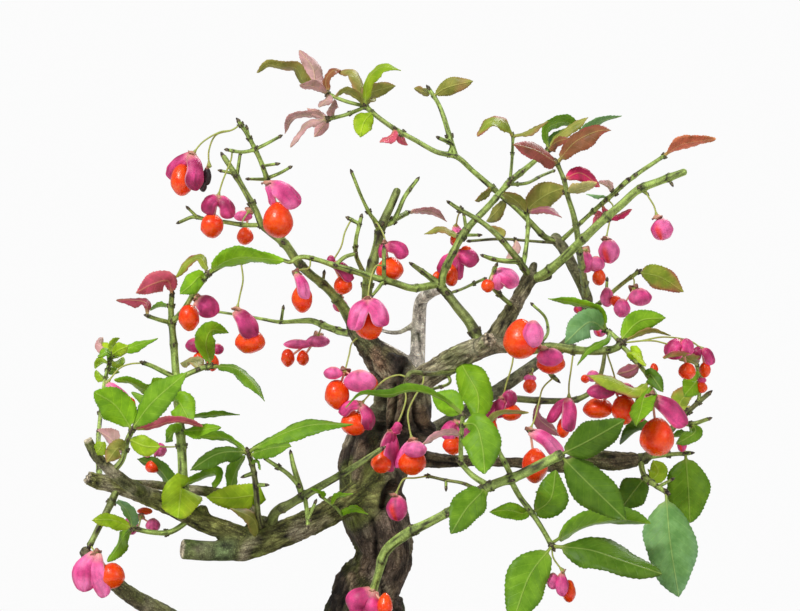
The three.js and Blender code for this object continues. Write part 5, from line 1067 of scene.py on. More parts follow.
# Each leaf: its stem, its midrib in pixels, the width that shows in pixels, how far its tip
# leans back in mm, and the name of its tones.
leaf_rows = [
    ("S1", [(304, 82), (296, 68), (282, 67), (268, 65), (257, 73)], 10, -3, "olive"),
    ("S1", [(316, 82), (313, 68), (299, 50)], 20, 6, "faded"),
    ("S1", [(312, 86), (300, 85)], 9, -8, "faded"),
    ("S1", [(326, 84), (320, 79)], 7, 8, "faded"),
    ("S1", [(326, 80), (333, 71), (341, 70)], 9, 5, "russet"),
    ("S", [(361, 85), (353, 72), (338, 72)], 12, 7, "olive"),
    ("S", [(352, 94), (345, 91), (335, 97)], 7, -9, "olive"),
    ("S1", [(326, 100), (319, 107)], 10, -7, "faded"),
    ("S", [(368, 80), (382, 67), (401, 70)], 12, -6, "lime"),
    ("S", [(368, 94), (378, 90), (396, 86)], 15, 5, "olive"),
    ("S", [(368, 101), (376, 98)], 6, 9, "olive"),
    ("S", [(364, 122), (360, 137)], 20, -6, "lime"),
    ("S2", [(331, 110), (334, 99)], 10, 8, "faded"),
    ("S2", [(318, 113), (307, 108)], 8, 4, "faded"),
    ("S2", [(310, 115), (292, 119), (285, 134)], 7, 9, "faded"),
    ("S2", [(308, 123), (300, 132), (290, 147)], 8, -6, "faded"),
    ("S2", [(322, 127), (314, 137)], 12, 3, "faded"),
    ("S", [(390, 137), (380, 142)], 10, -7, "pink"),
    ("S", [(401, 138), (408, 145)], 8, 6, "pink"),
    ("S3", [(446, 88), (473, 81)], 17, -5, "olive"),
    ("S3", [(424, 92), (414, 88)], 8, 6, "olive"),
    ("J1", [(505, 123), (490, 122), (477, 136)], 13, -8, "limeblush"),
    ("J1", [(530, 131), (548, 121)], 6, -4, "olive"),
    ("J2", [(548, 128), (565, 122), (583, 131)], 11, 6, "green"),
    ("J2", [(560, 134), (588, 117)], 10, -2, "olive"),
    ("J2", [(553, 140), (568, 129)], 8, 12, "dark"),
    ("J2", [(556, 142), (574, 137)], 9, -9, "russet"),
    ("V", [(585, 133), (602, 121), (622, 116)], 9, 7, "teal"),
    ("V", [(575, 142), (598, 131), (611, 130)], 20, -5, "russet"),
    ("V", [(552, 160), (535, 150), (513, 144)], 18, -9, "redbrown"),
    ("V", [(580, 173), (600, 187)], 15, 3, "magenta"),
    ("Q", [(532, 205), (548, 194), (567, 187)], 27, 5, "olive"),
    ("Q", [(515, 200), (502, 192)], 12, -6, "olive"),
    ("S", [(494, 214), (486, 221)], 13, 8, "olive"),
    ("S", [(485, 196), (475, 201)], 7, -5, "olive"),
    ("V", [(580, 189), (597, 183)], 11, -7, "pale"),
    ("P2", [(608, 186), (598, 182)], 6, 8, "faded"),
    ("P2", [(603, 197), (586, 194)], 5, 12, "teal"),
    ("Q", [(545, 208), (562, 217)], 8, -8, "mauve"),
    ("P2", [(598, 217), (591, 229)], 9, 8, "pink"),
    ("P2", [(612, 216), (632, 209)], 7, 2, "magenta"),
    ("P3", [(680, 145), (698, 141), (716, 139)], 12, -4, "salmon"),
    ("W", [(660, 277), (684, 292)], 24, 6, "limeblush"),
    ("H3b", [(430, 212), (447, 222)], 7, 6, "rosy"),
    ("X1", [(600, 312), (575, 303), (548, 299)], 8, -6, "bright"),
    ("X1", [(590, 322), (565, 343)], 28, -11, "teal"),
    ("X1", [(640, 321), (666, 318)], 23, 4, "bright"),
    ("X1", [(606, 339), (588, 350), (577, 365)], 6, -12, "green"),
    ("BB", [(538, 417), (563, 437)], 12, 5, "mauve"),
    ("X3", [(636, 390), (612, 381), (586, 375)], 13, -6, "limeblush"),
    ("X3", [(632, 370), (617, 374)], 14, -4, "mauve"),
    ("FB", [(590, 440), (625, 420)], 34, -8, "dark"),
    ("Y", [(640, 430), (620, 445)], 14, 14, "dark"),
    ("X3", [(644, 398), (641, 410), (636, 426)], 17, -14, "bright"),
    ("Y3", [(697, 381), (684, 396)], 22, -9, "bright"),
    ("X3", [(651, 375), (663, 392)], 15, -6, "dark"),
    ("Y3", [(692, 362), (678, 356), (663, 358)], 10, -24, "turning"),
    ("Y", [(680, 404), (698, 382)], 20, 9, "limeblush"),
    ("Y2", [(690, 432), (668, 438)], 9, 9, "green"),
    ("Y2", [(695, 432), (676, 444)], 14, -6, "green"),
    ("FC", [(550, 500), (556, 470)], 34, 9, "green"),
    ("FB", [(590, 485), (626, 520)], 40, -7, "dark"),
    ("YY", [(635, 490), (620, 510)], 30, 4, "dark"),
    ("YY", [(670, 540), (679, 597)], 52, -12, "teal"),
    ("Y4", [(688, 485), (690, 523)], 44, -4, "green"),
    ("YY", [(658, 472), (653, 460)], 20, 6, "lime"),
    ("R", [(466, 372), (478, 395), (477, 422)], 34, -12, "bright"),
    ("FE", [(448, 402), (432, 396)], 26, 4, "bright"),
    ("FE", [(440, 398), (412, 390), (388, 395), (362, 394), (346, 408)], 8, -8, "green"),
    ("FE", [(475, 425), (482, 445), (485, 474)], 38, -9, "green"),
    ("FE", [(445, 434), (423, 444)], 8, -6, "rosy"),
    ("FE", [(483, 428), (500, 414), (529, 413)], 7, 8, "olive"),
    ("FB", [(482, 492), (467, 508), (451, 534)], 32, -8, "green"),
    ("FC", [(524, 513), (508, 510), (489, 512)], 16, 5, "bright"),
    ("FC", [(530, 575), (512, 625)], 42, -6, "green"),
    ("FC", [(580, 528), (615, 520), (651, 524)], 22, 12, "green"),
    ("FC", [(590, 550), (620, 560), (662, 574)], 30, -10, "dark"),
    ("C3", [(146, 303), (132, 300), (116, 300)], 9, 6, "burgundy"),
    ("C", [(168, 281), (153, 284), (136, 293)], 21, -8, "pink"),
    ("C2", [(201, 258), (188, 262), (173, 280)], 9, 8, "limeblush"),
    ("C2", [(200, 276), (192, 284), (180, 294)], 19, -5, "bright"),
    ("C2", [(222, 263), (240, 257), (262, 258), (284, 261)], 17, -9, "bright"),
    ("C", [(160, 306), (150, 311)], 5, 9, "green"),
    ("C5", [(206, 343), (212, 330), (229, 333)], 20, 7, "bright"),
    ("C5", [(235, 368), (252, 382), (265, 401)], 10, -8, "green"),
    ("C5", [(195, 361), (180, 363)], 10, 10, "pale"),
    ("C", [(160, 385), (147, 390), (130, 382), (114, 380)], 12, -9, "bright"),
    ("C", [(160, 396), (145, 397), (131, 392)], 10, 11, "green"),
    ("LM", [(150, 405), (187, 372)], 28, -6, "green"),
    ("LM", [(150, 415), (163, 402)], 18, 7, "lime"),
    ("C", [(180, 403), (191, 424)], 27, -7, "bright"),
    ("LM", [(150, 427), (178, 421), (203, 427)], 9, 9, "pink"),
    ("C", [(200, 430), (221, 427)], 13, -5, "bright"),
    ("C", [(215, 415), (240, 415)], 6, 8, "green"),
    ("C", [(174, 432), (166, 442)], 12, -9, "green"),
    ("LM", [(115, 405), (94, 392)], 34, -5, "bright"),
    ("LM", [(118, 448), (107, 462)], 18, -9, "olive"),
    ("LM", [(145, 446), (160, 447)], 20, -3, "lime"),
    ("LM", [(118, 446), (108, 437), (97, 430)], 17, 9, "faded"),
    ("LF", [(99, 450), (104, 442)], 14, -6, "lime"),
    ("LL2b", [(172, 488), (160, 470), (137, 459)], 17, 8, "dark"),
    ("C", [(181, 488), (180, 500), (178, 518)], 40, -10, "lime"),
    ("LL2b", [(255, 496), (232, 498), (206, 497)], 27, -6, "lime"),
    ("LL", [(253, 519), (230, 508)], 10, -14, "olive"),
    ("VL", [(225, 438), (196, 438)], 9, 6, "bright"),
    ("VL", [(220, 453), (190, 470)], 17, -7, "dark"),
    ("LL2b", [(215, 474), (183, 485)], 11, 9, "bright"),
    ("LL2b", [(236, 470), (245, 455)], 12, 8, "green"),
    ("VL", [(275, 437), (310, 425), (353, 424)], 15, -6, "green"),
    ("VL", [(270, 440), (285, 438), (304, 437)], 5, 8, "green"),
    ("VL", [(270, 448), (291, 446)], 12, -12, "green"),
    ("VL", [(257, 462), (260, 470)], 4, -6, "green"),
    ("LSH", [(320, 494), (311, 489)], 6, -5, "bright"),
    ("LSH", [(338, 497), (353, 494)], 6, -8, "bright"),
    ("LSH", [(344, 511), (354, 508), (368, 514)], 6, -9, "bright"),
    ("LT", [(112, 520), (92, 520)], 14, -6, "lime"),
    ("LT", [(128, 512), (118, 500)], 16, -11, "teal"),
    ("LT", [(123, 537), (118, 547), (107, 562)], 14, 7, "bright"),
    ("LK", [(130, 348), (158, 338)], 9, 5, "bright"),
    ("LK", [(104, 348), (95, 345)], 14, 8, "lime"),
    ("LK", [(119, 350), (128, 346)], 14, -6, "lime"),
    ("LK", [(101, 346), (103, 337)], 7, 8, "faded"),
    ("LK", [(116, 362), (124, 357)], 9, 9, "lime"),
    ("LK", [(102, 378), (96, 370)], 7, 8, "lime"),
    ("LK", [(112, 371), (120, 372)], 8, 4, "bright"),
    ("J", [(456, 235), (440, 229), (424, 234)], 7, 9, "olive"),
    ("P1", [(500, 233), (487, 228)], 8, 5, "olive"),
    ("P1", [(515, 248), (506, 263)], 9, -4, "faded"),
    ("LK", [(102, 362), (95, 369)], 7, 6, "lime"),
    ("LK", [(113, 345), (120, 338)], 6, 5, "lime"),
    ("LK", [(112, 358), (120, 352)], 6, 7, "lime"),
    ("LK", [(106, 352), (98, 357)], 7, -7, "bright"),
    ("X3", [(634, 352), (646, 366)], 9, -8, "lime"),
    ("X1", [(650, 332), (671, 336)], 5, 6, "olive"),
]
# Each fruit: its stem, its depth in mm, its stalk and calyx in pixels, the tips of its valves with
# their width, its closed lobes and its arils with their width and height, all in pixels, and the
# name of its tones. One more number is how many mm behind the fruit's depth a part stands.
fruit_rows = [
    ("A", -12, [(232, 130), (220, 132), (204, 141), (198, 147)], (193, 154), [(167, 176, 15, 4),
        (195, 191, 15, -2)], [], [(182, 180, 22, 32)], "magenta"),
    ("A", -11, [(232, 130), (216, 135), (209, 150)], (209, 166), [], [(207, 176, 9, 19),
        (203, 186, 8, 12)], [], "dry"),
    ("A1", -12, [(231, 160), (227, 170), (222, 183)], (218, 197), [(203, 212, 15),
        (232, 218, 13)], [], [(212, 226, 22, 25)], "magenta"),
    ("Bs", 5, [(243, 220)], (249, 211), [], [(243, 216, 19, 11)], [(245, 236, 16, 18)], "pink"),
    ("A", -15, [], (267, 183), [(300, 205, 19), (272, 206, 6)], [], [(278, 220, 29, 36)], "pink"),
    ("E", -18, [(309, 268), (300, 270)], (297, 273), [(308, 299, 10)], [],
        [(302, 299, 20, 28, 2)], "pink"),
    ("F1a", -9, [(345, 232), (341, 247)], (332, 262), [(353, 280, 10)], [(331, 260, 9, 10)],
        [(343, 285, 18, 19, 1)], "magenta"),
    ("B", 9, [], (340, 297), [], [(340, 305, 15, 14)], [], "pink"),
    ("C2", -15, [], (197, 298), [(213, 317, 21)], [], [(189, 318, 20, 27, 2)], "magenta"),
    ("C6", -15, [(243, 280), (240, 295)], (237, 309), [(257, 336, 17)], [],
        [(250, 341, 29, 25, 2)], "magenta"),
    ("C5", 8, [(205, 356)], (207, 346), [], [(195, 345, 20, 15), (218, 349, 12, 11)],
        [(200, 356, 12, 9), (213, 363, 12, 17)], "magenta"),
    ("D", 23, [], (318, 336), [], [(298, 344, 30, 10), (318, 341, 24, 13)], [(288, 358, 13, 18),
        (303, 358, 12, 16)], "pink"),
    ("Eup", -18, [(376, 266), (370, 282)], (368, 299), [(351, 330, 16, -2), (386, 326, 16, -2)],
        [], [(369, 325, 27, 30, 2)], "pink"),
    ("H2", -6, [(377, 223), (382, 231), (385, 239)], (385, 245), [(408, 255, 13), (381, 258, 7)],
        [], [(390, 269, 26, 24, 1)], "magenta"),
    ("trunk", -15, [(352, 343), (349, 355)], (345, 371), [], [(333, 373, 20, 13, -1),
        (360, 381, 33, 23, -3)], [(337, 395, 24, 30), (366, 383, 23, 22, 1)], "pink"),
    ("Ra", -16, [(400, 375), (386, 379), (370, 394)], (361, 404), [(339, 413, 10),
        (370, 430, 11)], [], [(354, 423, 26, 25, 1)], "magenta"),
    ("Ra", -18, [(406, 398), (400, 418)], (392, 432), [(388, 452, 12), (401, 428, 9),
        (390, 472, 14)], [], [(382, 461, 21, 25)], "magenta"),
    ("Ra", -19, [(423, 383), (414, 398), (408, 413), (409, 426)], (412, 440), [(396, 468, 7)],
        [(415, 449, 24, 17, -3)], [(412, 462, 28, 27)], "pink"),
    ("C4", -12, [(130, 364), (120, 368)], (107, 383), [(129, 399, 8)], [], [(131, 405, 9, 15)],
        "pink"),
    ("C", 2, [(168, 447)], (157, 446), [(142, 454, 10), (162, 456, 10)], [], [(153, 466, 14, 14)],
        "pink"),
    ("LS", -22, [], (96, 553), [(84, 592, 26), (103, 598, 16)], [], [(112, 576, 25, 26)], "pink"),
    ("LT", -10, [], (141, 517), [], [(131, 525, 16, 20), (153, 525, 15, 14)],
        [(145, 511, 15, 8, 2)], "pink"),
    ("FB", -31, [], (372, 590), [(352, 612, 24), (374, 624, 22)], [], [(385, 605, 15, 24, -2)],
        "magenta"),
    ("FE", -25, [], (457, 424), [(443, 438, 14), (467, 438, 12)], [], [(453, 445, 20, 20)],
        "pink"),
    ("J", 0, [], (455, 253), [(438, 272, 17), (478, 262, 16), (459, 280, 9)], [],
        [(437, 276, 10, 10), (451, 275, 14, 23, -2), (466, 250, 11, 9)], "magenta"),
    ("K", 1, [(458, 216)], (456, 226), [(457, 247, 10)], [], [(455, 238, 9, 13, -2)], "pink"),
    ("N", -11, [], (495, 270), [(499, 290, 11), (518, 285, 16)], [], [(488, 286, 13, 13, -3)],
        "pink"),
    ("X", -22, [], (543, 348), [], [(533, 334, 22, 28, -3)], [(521, 339, 34, 40)], "pink"),
    ("X", -17, [], (543, 350), [], [(550, 357, 28, 19, -4)], [(551, 362, 27, 24, -1)], "pink"),
    ("R2", 23, [(533, 370)], (531, 375), [], [(530, 378, 13, 8)], [(530, 386, 13, 15)], "pink"),
    ("X", -9, [(512, 365), (506, 385)], (503, 398), [(516, 402, 15), (478, 424, 8),
        (499, 418, 10)], [], [(511, 412, 20, 18), (493, 427, 9, 15), (480, 425, 9, 9)],
        "magenta"),
    ("X", -14, [(608, 356), (612, 368), (615, 380)], (614, 388), [], [(601, 391, 29, 16, -2),
        (624, 389, 22, 13, -1)], [(598, 408, 29, 21, 2), (624, 410, 24, 30, -1)], "magenta"),
    ("BB", 28, [], (594, 378), [], [(593, 376, 14, 12)], [(585, 379, 9, 9)], "pink"),
    ("X3", -9, [], (654, 376), [], [(654, 376, 8, 6)], [(654, 369, 8, 12)], "magenta"),
    ("X", -13, [(640, 341), (655, 341), (674, 345)], (682, 342), [(668, 358, 16), (692, 353, 13)],
        [], [(687, 371, 17, 17, -1)], "magenta"),
    ("X", -7, [(640, 341), (664, 337), (690, 341)], (702, 349), [(713, 364, 10), (694, 359, 8)],
        [], [(705, 370, 11, 15)], "magenta"),
    ("Y3", -2, [], (702, 378), [], [(702, 380, 9, 7)], [(702, 387, 10, 12)], "magenta"),
    ("X3", -22, [], (652, 396), [(687, 425, 18), (634, 420, 12, 6)], [], [(657, 437, 33, 39)],
        "magenta"),
    ("X0", -18, [(543, 388), (539, 402), (535, 418)], (530, 430), [(564, 456, 13)], [],
        [(535, 466, 25, 35)], "pink"),
    ("X", -15, [(571, 370), (569, 385)], (569, 398), [(548, 422, 9), (570, 432, 13, -2)], [],
        [(563, 428, 12, 20, 1)], "magenta"),
    ("V", 13, [], (586, 250), [], [(586, 262, 16, 22), (596, 264, 18, 16)], [(599, 277, 13, 17)],
        "pink"),
    ("W", 18, [], (607, 292), [], [(607, 297, 14, 20)], [(616, 301, 11, 11, -2)], "pink"),
    ("W", 14, [(634, 280)], (634, 288), [], [(640, 297, 24, 18), (622, 308, 17, 19)], [], "pink"),
    ("U", -15, [(648, 196), (654, 206)], (657, 217), [], [(662, 229, 23, 23)], [], "pink"),
    ("P2", 14, [(613, 206), (610, 220)], (606, 239), [], [(609, 251, 22, 25)], [], "pink"),
    ("FD", -20, [(415, 478), (404, 479), (399, 487)], (395, 496), [], [(397, 508, 22, 26)], [],
        "magenta"),
    ("FC", -28, [(553, 557), (558, 565)], (563, 571), [], [(553, 581, 13, 17),
        (562, 585, 14, 23, -1)], [(569, 591, 13, 23, 1)], "pink"),
    ("Y4", 2, [], (684, 439), [], [(682, 445, 10, 14)], [], "magenta"),
    ("R2", 26, [], (600, 325), [], [(600, 331, 13, 12)], [], "pink"),
    ("R2", 27, [], (580, 303), [], [(579, 309, 11, 10)], [], "magenta"),
]

joints_on = {}
grown = [row[:2] for row in [*green_twigs.values(), *spurs.values(), *leaf_rows]]
grown += [(row[0], row[2] or [row[3]]) for row in fruit_rows]
for parent, path in grown:
    joints_on.setdefault(parent, []).append(seat(parent, path[0]))

bpy.ops.mesh.primitive_uv_sphere_add(segments=10, ring_count=8, radius=1)
bud_blank, bud_faces = blank_from(bpy.context.object)


# A bud: a short egg of close dark scales, its axis along the way it grows.
def bud(place_of, way, size, seed, long=1.5):
    way = Vector(way).normalized()
    turn = np.array(way.to_track_quat("Z", "Y").to_matrix())
    shape = bud_blank.copy()
    up = shape[:, 2]
    lumps = lumps_at(shape, 1.7, (seed, 0, 0))
    scales = 1 + 0.08 * np.sin(9 * up + 3 * np.arctan2(shape[:, 1], shape[:, 0])) + 0.4 * lumps
    shape[:, :2] *= (scales * np.where(up > 0, 1 - 0.45 * up, 1))[:, None]
    points = (shape * (size, size, size * long)) @ turn.T + place_of + np.array(way) * size * 0.7
    shade = np.clip(0.3 + 0.5 * np.sin(11 * up + seed) + 0.9 * lumps, 0, 1)
    tones = toward(np.array(bud_dark), bud_pale, shade[:, None] * 0.7)
    return points, bud_faces, np.zeros((len(points), 2)), tones


# A shoot: a four-ribbed tube that swells at each joint, with a dark scar and two buds there.
def shoot(name, seed):
    run, widths = stem_run(name, 0.0004)
    radii = np.maximum(widths, least_shoot) / 2
    lengths = lengths_along(run)
    ways, sides, across = frames_along(run)
    joints = [lengths[np.argmin(np.linalg.norm(run - place(*joint), axis=1))]
              for joint in joints_on.get(name, [])]
    spaced = 0.004 + 0.003 * (seed % 3) / 2
    while spaced < lengths[-1] - 0.002:
        if all(abs(spaced - joint) > joint_gap for joint in joints):
            joints.append(spaced)
        spaced += even_gap + 0.002 * math.sin(seed + spaced * 900)
    swell, scar = np.zeros(len(run)), np.zeros(len(run))
    for joint in joints:
        swell += np.exp(-((lengths - joint) / 0.0009) ** 2)
        scar += np.exp(-((lengths - joint) / 0.00042) ** 2)
    swell, scar = np.minimum(swell, 1.2), np.minimum(scar, 1)
    wobble = lumps_at(run, 330, (seed, 0, 0))
    radii = radii * (0.93 + 0.14 * swell + 0.05 * wobble)
    around = 8 if widths[0] < 0.0013 else 16
    points, faces, lay_of = tube(run, radii, around)
    rings = np.r_[0, 0, np.arange(len(run)), len(run) - 1, len(run) - 1]
    ring_of = np.r_[np.repeat(rings, around), 0, len(run) - 1]
    turn, along = lay_of[:, 0] * 2 * math.pi, lay_of[:, 1]
    crust = lumps_at(points, 1900)
    ribs = np.cos(4 * turn + 0.8 * np.sin(along * 120 + seed))
    out = (points - run[ring_of]) / radii[ring_of][:, None]
    relief = radii[ring_of] * (0.05 * ribs + 0.26 * crust * scar[ring_of])
    points = points + out * relief[:, None]
    thick = np.clip((widths * 1000 - 1.2) / 1.7, 0, 1)
    brown = np.clip(thick * 0.12 + brown_stems.get(name, 0) + 0.35 * wobble, 0, 1)[ring_of]
    streak = lumps_at(np.c_[np.cos(turn) * 1.6, np.sin(turn) * 1.6, along * 260 + seed], 1)
    brown = np.clip(brown + 1.0 * np.clip(streak - 0.12, 0, 1), 0, 1)[:, None]
    # Painted light and shade: each rib is lighter on its crest and darker in its furrows; thicker
    # shoots are darker in their own tone.
    light = (1.26 - 0.26 * thick[ring_of] + 0.3 * ribs + 0.2 * crust)[:, None]
    tones = toward(np.array(green_shoot), brown_shoot, brown) * light
    mark = scar[ring_of] * (0.55 + 1.6 * crust + 0.35 * np.sin(2 * turn + seed))
    spread = np.clip(swell[ring_of] * 2 * (crust + 0.02) + 3.4 * (streak - 0.22), 0, 1)
    tones = toward(tones, scar_tone, np.clip(mark + spread, 0, 0.92)[:, None])
    parts = [(points, faces, lay_of, tones)]
    for number, joint in enumerate(joints):
        i = int(np.argmin(abs(lengths - joint)))
        size = min(0.00034, 0.42 * radii[i] + 0.00008) * (0.8 + 0.35 * math.sin(seed + number))
        for half_turn in (0, math.pi):
            turned = 1.57 * (number + seed) + half_turn
            side = sides[i] * math.cos(turned) + across[i] * math.sin(turned)
            start = run[i] + side * radii[i] * 0.86
            parts.append(bud(start, side * 0.8 + ways[i] * 1.3, size, seed + number))
            parts.append(bud(start - ways[i] * 0.0003, side, size * 0.8, seed + number + 5, 0.6))
    if widths[-1] < 0.0016:
        size = kept_in(radii[-1] * 0.95, 0.0004, 0.0006)
        parts.append(bud(run[-1], ways[-1], size, seed, 2))
    return parts


green_bark, add, feed = new_finish("green_twig_skin", Specular_IOR_Level=0.3)
twig_wear = weathered(add, 0.0016, 0.0003)
mottled = blend_colours(add, twig_wear["Patches"], (0.56, 0.55, 0.5), (1.22, 1.2, 1.2))
feed("Base Color", toned(add, twig_wear["Specks"], mottled, (1.6, 1.56, 1.6)))
feed("Roughness", dulled(add, twig_wear, 0.42, 0.62))
feed("Normal", bumped(add, twig_wear["Height"], 0.00011))

twig_parts = {}
for seed, name in enumerate([*green_twigs, *spurs, *thin_old_limbs]):
    twig_parts.setdefault(in_spray(name), []).extend(shoot(name, seed))
make_in_sprays("twigs", twig_parts, green_bark, "leafy_shoot")


# The leaves: thin leathery blades with a short stalk, a pale midrib, side veins and fine teeth,
# some still green and some turned pink or red. Each grows from its twig by its stalk.
blade_width_to_length, steepest_leaf, stalk_share = 0.36, 1.8, 0.09
blade_thickness, stalk_thickness, stalk_half = 0.00024, 0.0007, 0.00032
# The tones green, bright and dark are one green at three lightnesses: partly the leaves' own tones
# and partly painted light and shade.
leaf_tones = {
    "green": ((112, 158, 26), (94, 138, 26)), "bright": ((132, 184, 18), (112, 162, 24)),
    "lime": ((162, 198, 30), (166, 188, 40)), "dark": ((76, 114, 8), (70, 100, 12)),
    "teal": ((112, 160, 90), (128, 174, 122)), "olive": ((150, 152, 68), (168, 128, 84)),
    "rosy": ((214, 160, 168), (200, 122, 130)), "faded": ((216, 172, 172), (206, 148, 150)),
    "turning": ((132, 132, 50), (178, 76, 74)), "redbrown": ((144, 74, 62), (184, 84, 92)),
    "russet": ((146, 92, 56), (172, 76, 70)), "mauve": ((164, 92, 112), (156, 110, 90)),
    "pink": ((222, 90, 118), (232, 130, 138)), "burgundy": ((166, 62, 84), (138, 84, 72)),
    "magenta": ((204, 40, 96), (210, 72, 106)), "salmon": ((224, 118, 86), (238, 154, 110)),
    "pale": ((190, 190, 120), (214, 156, 112)), "limeblush": ((154, 174, 50), (190, 82, 88)),
}
leaf_stalk_tone, leaf_rib_tone = paint(176, 186, 104), paint(190, 206, 120)
leaf_stations, tooth_height = 44, 0.00009
largest_blade, vein_spacing = (24, 40), 2.3

bpy.ops.mesh.primitive_grid_add(x_subdivisions=6, y_subdivisions=leaf_stations, size=2)
leaf_shape = bpy.context.object
leaf_wall = leaf_shape.modifiers.new("blade_thickness", "SOLIDIFY")
leaf_wall.thickness, leaf_wall.offset = 1.0, 0.0
bpy.ops.object.modifier_apply(modifier="blade_thickness")
leaf_blank, leaf_faces = blank_from(leaf_shape)


# Lays a blank along a line: its points run along, across by a half width, and out by a level.
# It gives back the points, and for each its place across and along the largest blade.
def laid_along(line, along, half, roll, level):
    length = sum(np.linalg.norm(b - a) for a, b in zip(line, line[1:]))
    run, _ = smooth_run(line, [1, 1], length / 36)
    ways, _, _ = frames_along(run)
    lengths = lengths_along(run)
    at = along * lengths[-1]
    middle = np.stack([np.interp(at, lengths, run[:, k]) for k in range(3)], 1)
    way = np.stack([np.interp(at, lengths, ways[:, k]) for k in range(3)], 1)
    way /= np.linalg.norm(way, axis=1)[:, None]
    flat = np.cross(way, (0, 1, 0))
    flat[np.linalg.norm(flat, axis=1) < 0.05] = (1, 0, 0)
    flat /= np.linalg.norm(flat, axis=1)[:, None]
    roll = np.broadcast_to(roll, len(at))[:, None]
    flat = flat * np.cos(roll) + np.cross(way, flat) * np.sin(roll)
    points = middle + flat * half[:, None] + np.cross(flat, way) * level[:, None]
    return points, np.c_[half * 1000 / largest_blade[0] + 0.5, at * 1000 / largest_blade[1]]


# A leaf: a blade drawn in at both ends, folded up at the midrib, rippled and toothed at the
# rim, and rolled about its midrib until it shows the width that the photograph shows.
def leaf(row, index):
    parent, path, seen, lean, tone_name = row
    start = seat(parent, path[0])
    pixels = [start, *((px, py, start[2]) for px, py in path)]
    line = [place(px, py, depth + lean * i / (len(pixels) - 1))
            for i, (px, py, depth) in enumerate(pixels)]
    length = lengths_along(smooth_run(line, [1, 1], 0.001)[0])[-1]
    visible = real_width(seen, start[2])
    width = max(visible, min(length * blade_width_to_length, visible * steepest_leaf))
    roll = (1 if index % 2 else -1) * math.acos(visible / width)
    raw, through, along = leaf_blank[:, 0], leaf_blank[:, 2], (leaf_blank[:, 1] + 1) / 2
    on_blade = np.clip((along - stalk_share) / (1 - stalk_share), 0, 1)
    plump = kept_in(visible / length - 0.45, 0, 0.4)
    low, high = 0.66 - 0.3 * plump, 0.9 - 0.7 * plump
    outline = on_blade ** low * (1 - on_blade) ** high
    outline = outline / ((low / (low + high)) ** low * (high / (low + high)) ** high)
    outline = outline * (1 + 0.07 * np.sin(11 * along + index + 1.7 * np.sign(raw)))
    tooth = (np.round(along * leaf_stations) % 2 * 2 - 1) * (abs(raw) > 0.99) * (outline > 0.15)
    bite = 1 + 0.6 * np.sin(along * 61 + index * 3)
    half = raw * (width / 2 * outline + min(tooth_height, 0.014 * width) * tooth * bite
                  + stalk_half * (1 - np.clip(on_blade * 9, 0, 1)))
    fold = 0.24 + 0.10 * math.sin(index * 2.7)
    ripple = np.sin(2 * math.pi * 1.6 * along + index * 1.9 + 1.2 * np.sign(raw)) * raw ** 2
    level = np.sqrt(half ** 2 + 0.0004 ** 2) * fold + 0.055 * width * ripple * (outline > 0.05)
    level += 0.00010 * np.sin(2 * math.pi * 6 * (along - 0.3 * abs(raw))) * outline * abs(raw)
    stalk = 1 - np.clip((along - 0.04) / 0.12, 0, 1)
    thick = blade_thickness * (1 - 0.5 * raw ** 4) + (stalk_thickness - blade_thickness) * stalk
    points, lay_of = laid_along(line, along, half, roll, level + through * thick)
    main, rim = (np.array(paint(*colour)) for colour in leaf_tones[tone_name])
    stain = lumps_at(points, 210, (index, 0, 0))
    turned = np.clip(0.75 * raw ** 4 + 0.7 * along - 0.55 + 1.2 * stain, 0, 1)[:, None]
    tones = toward(main, rim, turned) * (1 + 0.12 * math.sin(index * 5.3))
    tones = np.where(through[:, None] < 0, tones * 0.94 + 0.01, tones)
    return points, leaf_faces, lay_of, toward(tones, leaf_stalk_tone, (0.6 * stalk)[:, None])


leaf_skin, add, feed = new_finish("leaf_skin", Specular_IOR_Level=0.14)
leaf_wear = weathered(add, 0.003, 0.0005)
over_leaf = add("ShaderNodeSeparateXYZ", {0: add("ShaderNodeUVMap", uv_map="lay").outputs[0]})
from_rib = sums(add, "ABSOLUTE", sums(add, "SUBTRACT", over_leaf.outputs["X"], 0.5))
midrib = add("ShaderNodeMapRange", {0: from_rib, 1: 0.010, 2: 0.003}).outputs[0]
slant = sums(add, "MULTIPLY_ADD", from_rib, -0.55, over_leaf.outputs["Y"])
vein_turns = 2 * math.pi * largest_blade[1] / vein_spacing
vein_wave = sums(add, "SINE", sums(add, "MULTIPLY", slant, vein_turns))
veins = add("ShaderNodeMapRange", {0: vein_wave, 1: 0.86, 2: 1.0}).outputs[0]
blade_tone = toned(add, leaf_wear["Patches"], (0.74, 0.8, 0.66), (1.22, 1.16, 1.16))
paler = blend_colours(add, 1.0, blade_tone, (1.5, 1.38, 1.3), "MULTIPLY")
lined = blend_colours(add, sums(add, "MULTIPLY", veins, 0.35), blade_tone, paler)
rib_tone = blend_colours(add, 0.3, paler, leaf_rib_tone)
feed("Base Color", blend_colours(add, sums(add, "MULTIPLY", midrib, 0.75), lined, rib_tone))
feed("Roughness", dulled(add, leaf_wear, 0.34, 0.5))
leathery = sums(add, "MULTIPLY", leaf_wear["Height"], 0.3)
blade_height = sums(add, "MULTIPLY_ADD", veins, -0.5, leathery)
feed("Normal", bumped(add, blade_height, 0.00007, bumped(add, midrib, 0.00012)))

leaf_parts = {}
for index, row in enumerate(leaf_rows):
    leaf_parts.setdefault(in_spray(row[0]), []).append(leaf(row, index))
make_in_sprays("leaves", leaf_parts, leaf_skin, "leafy_shoot")


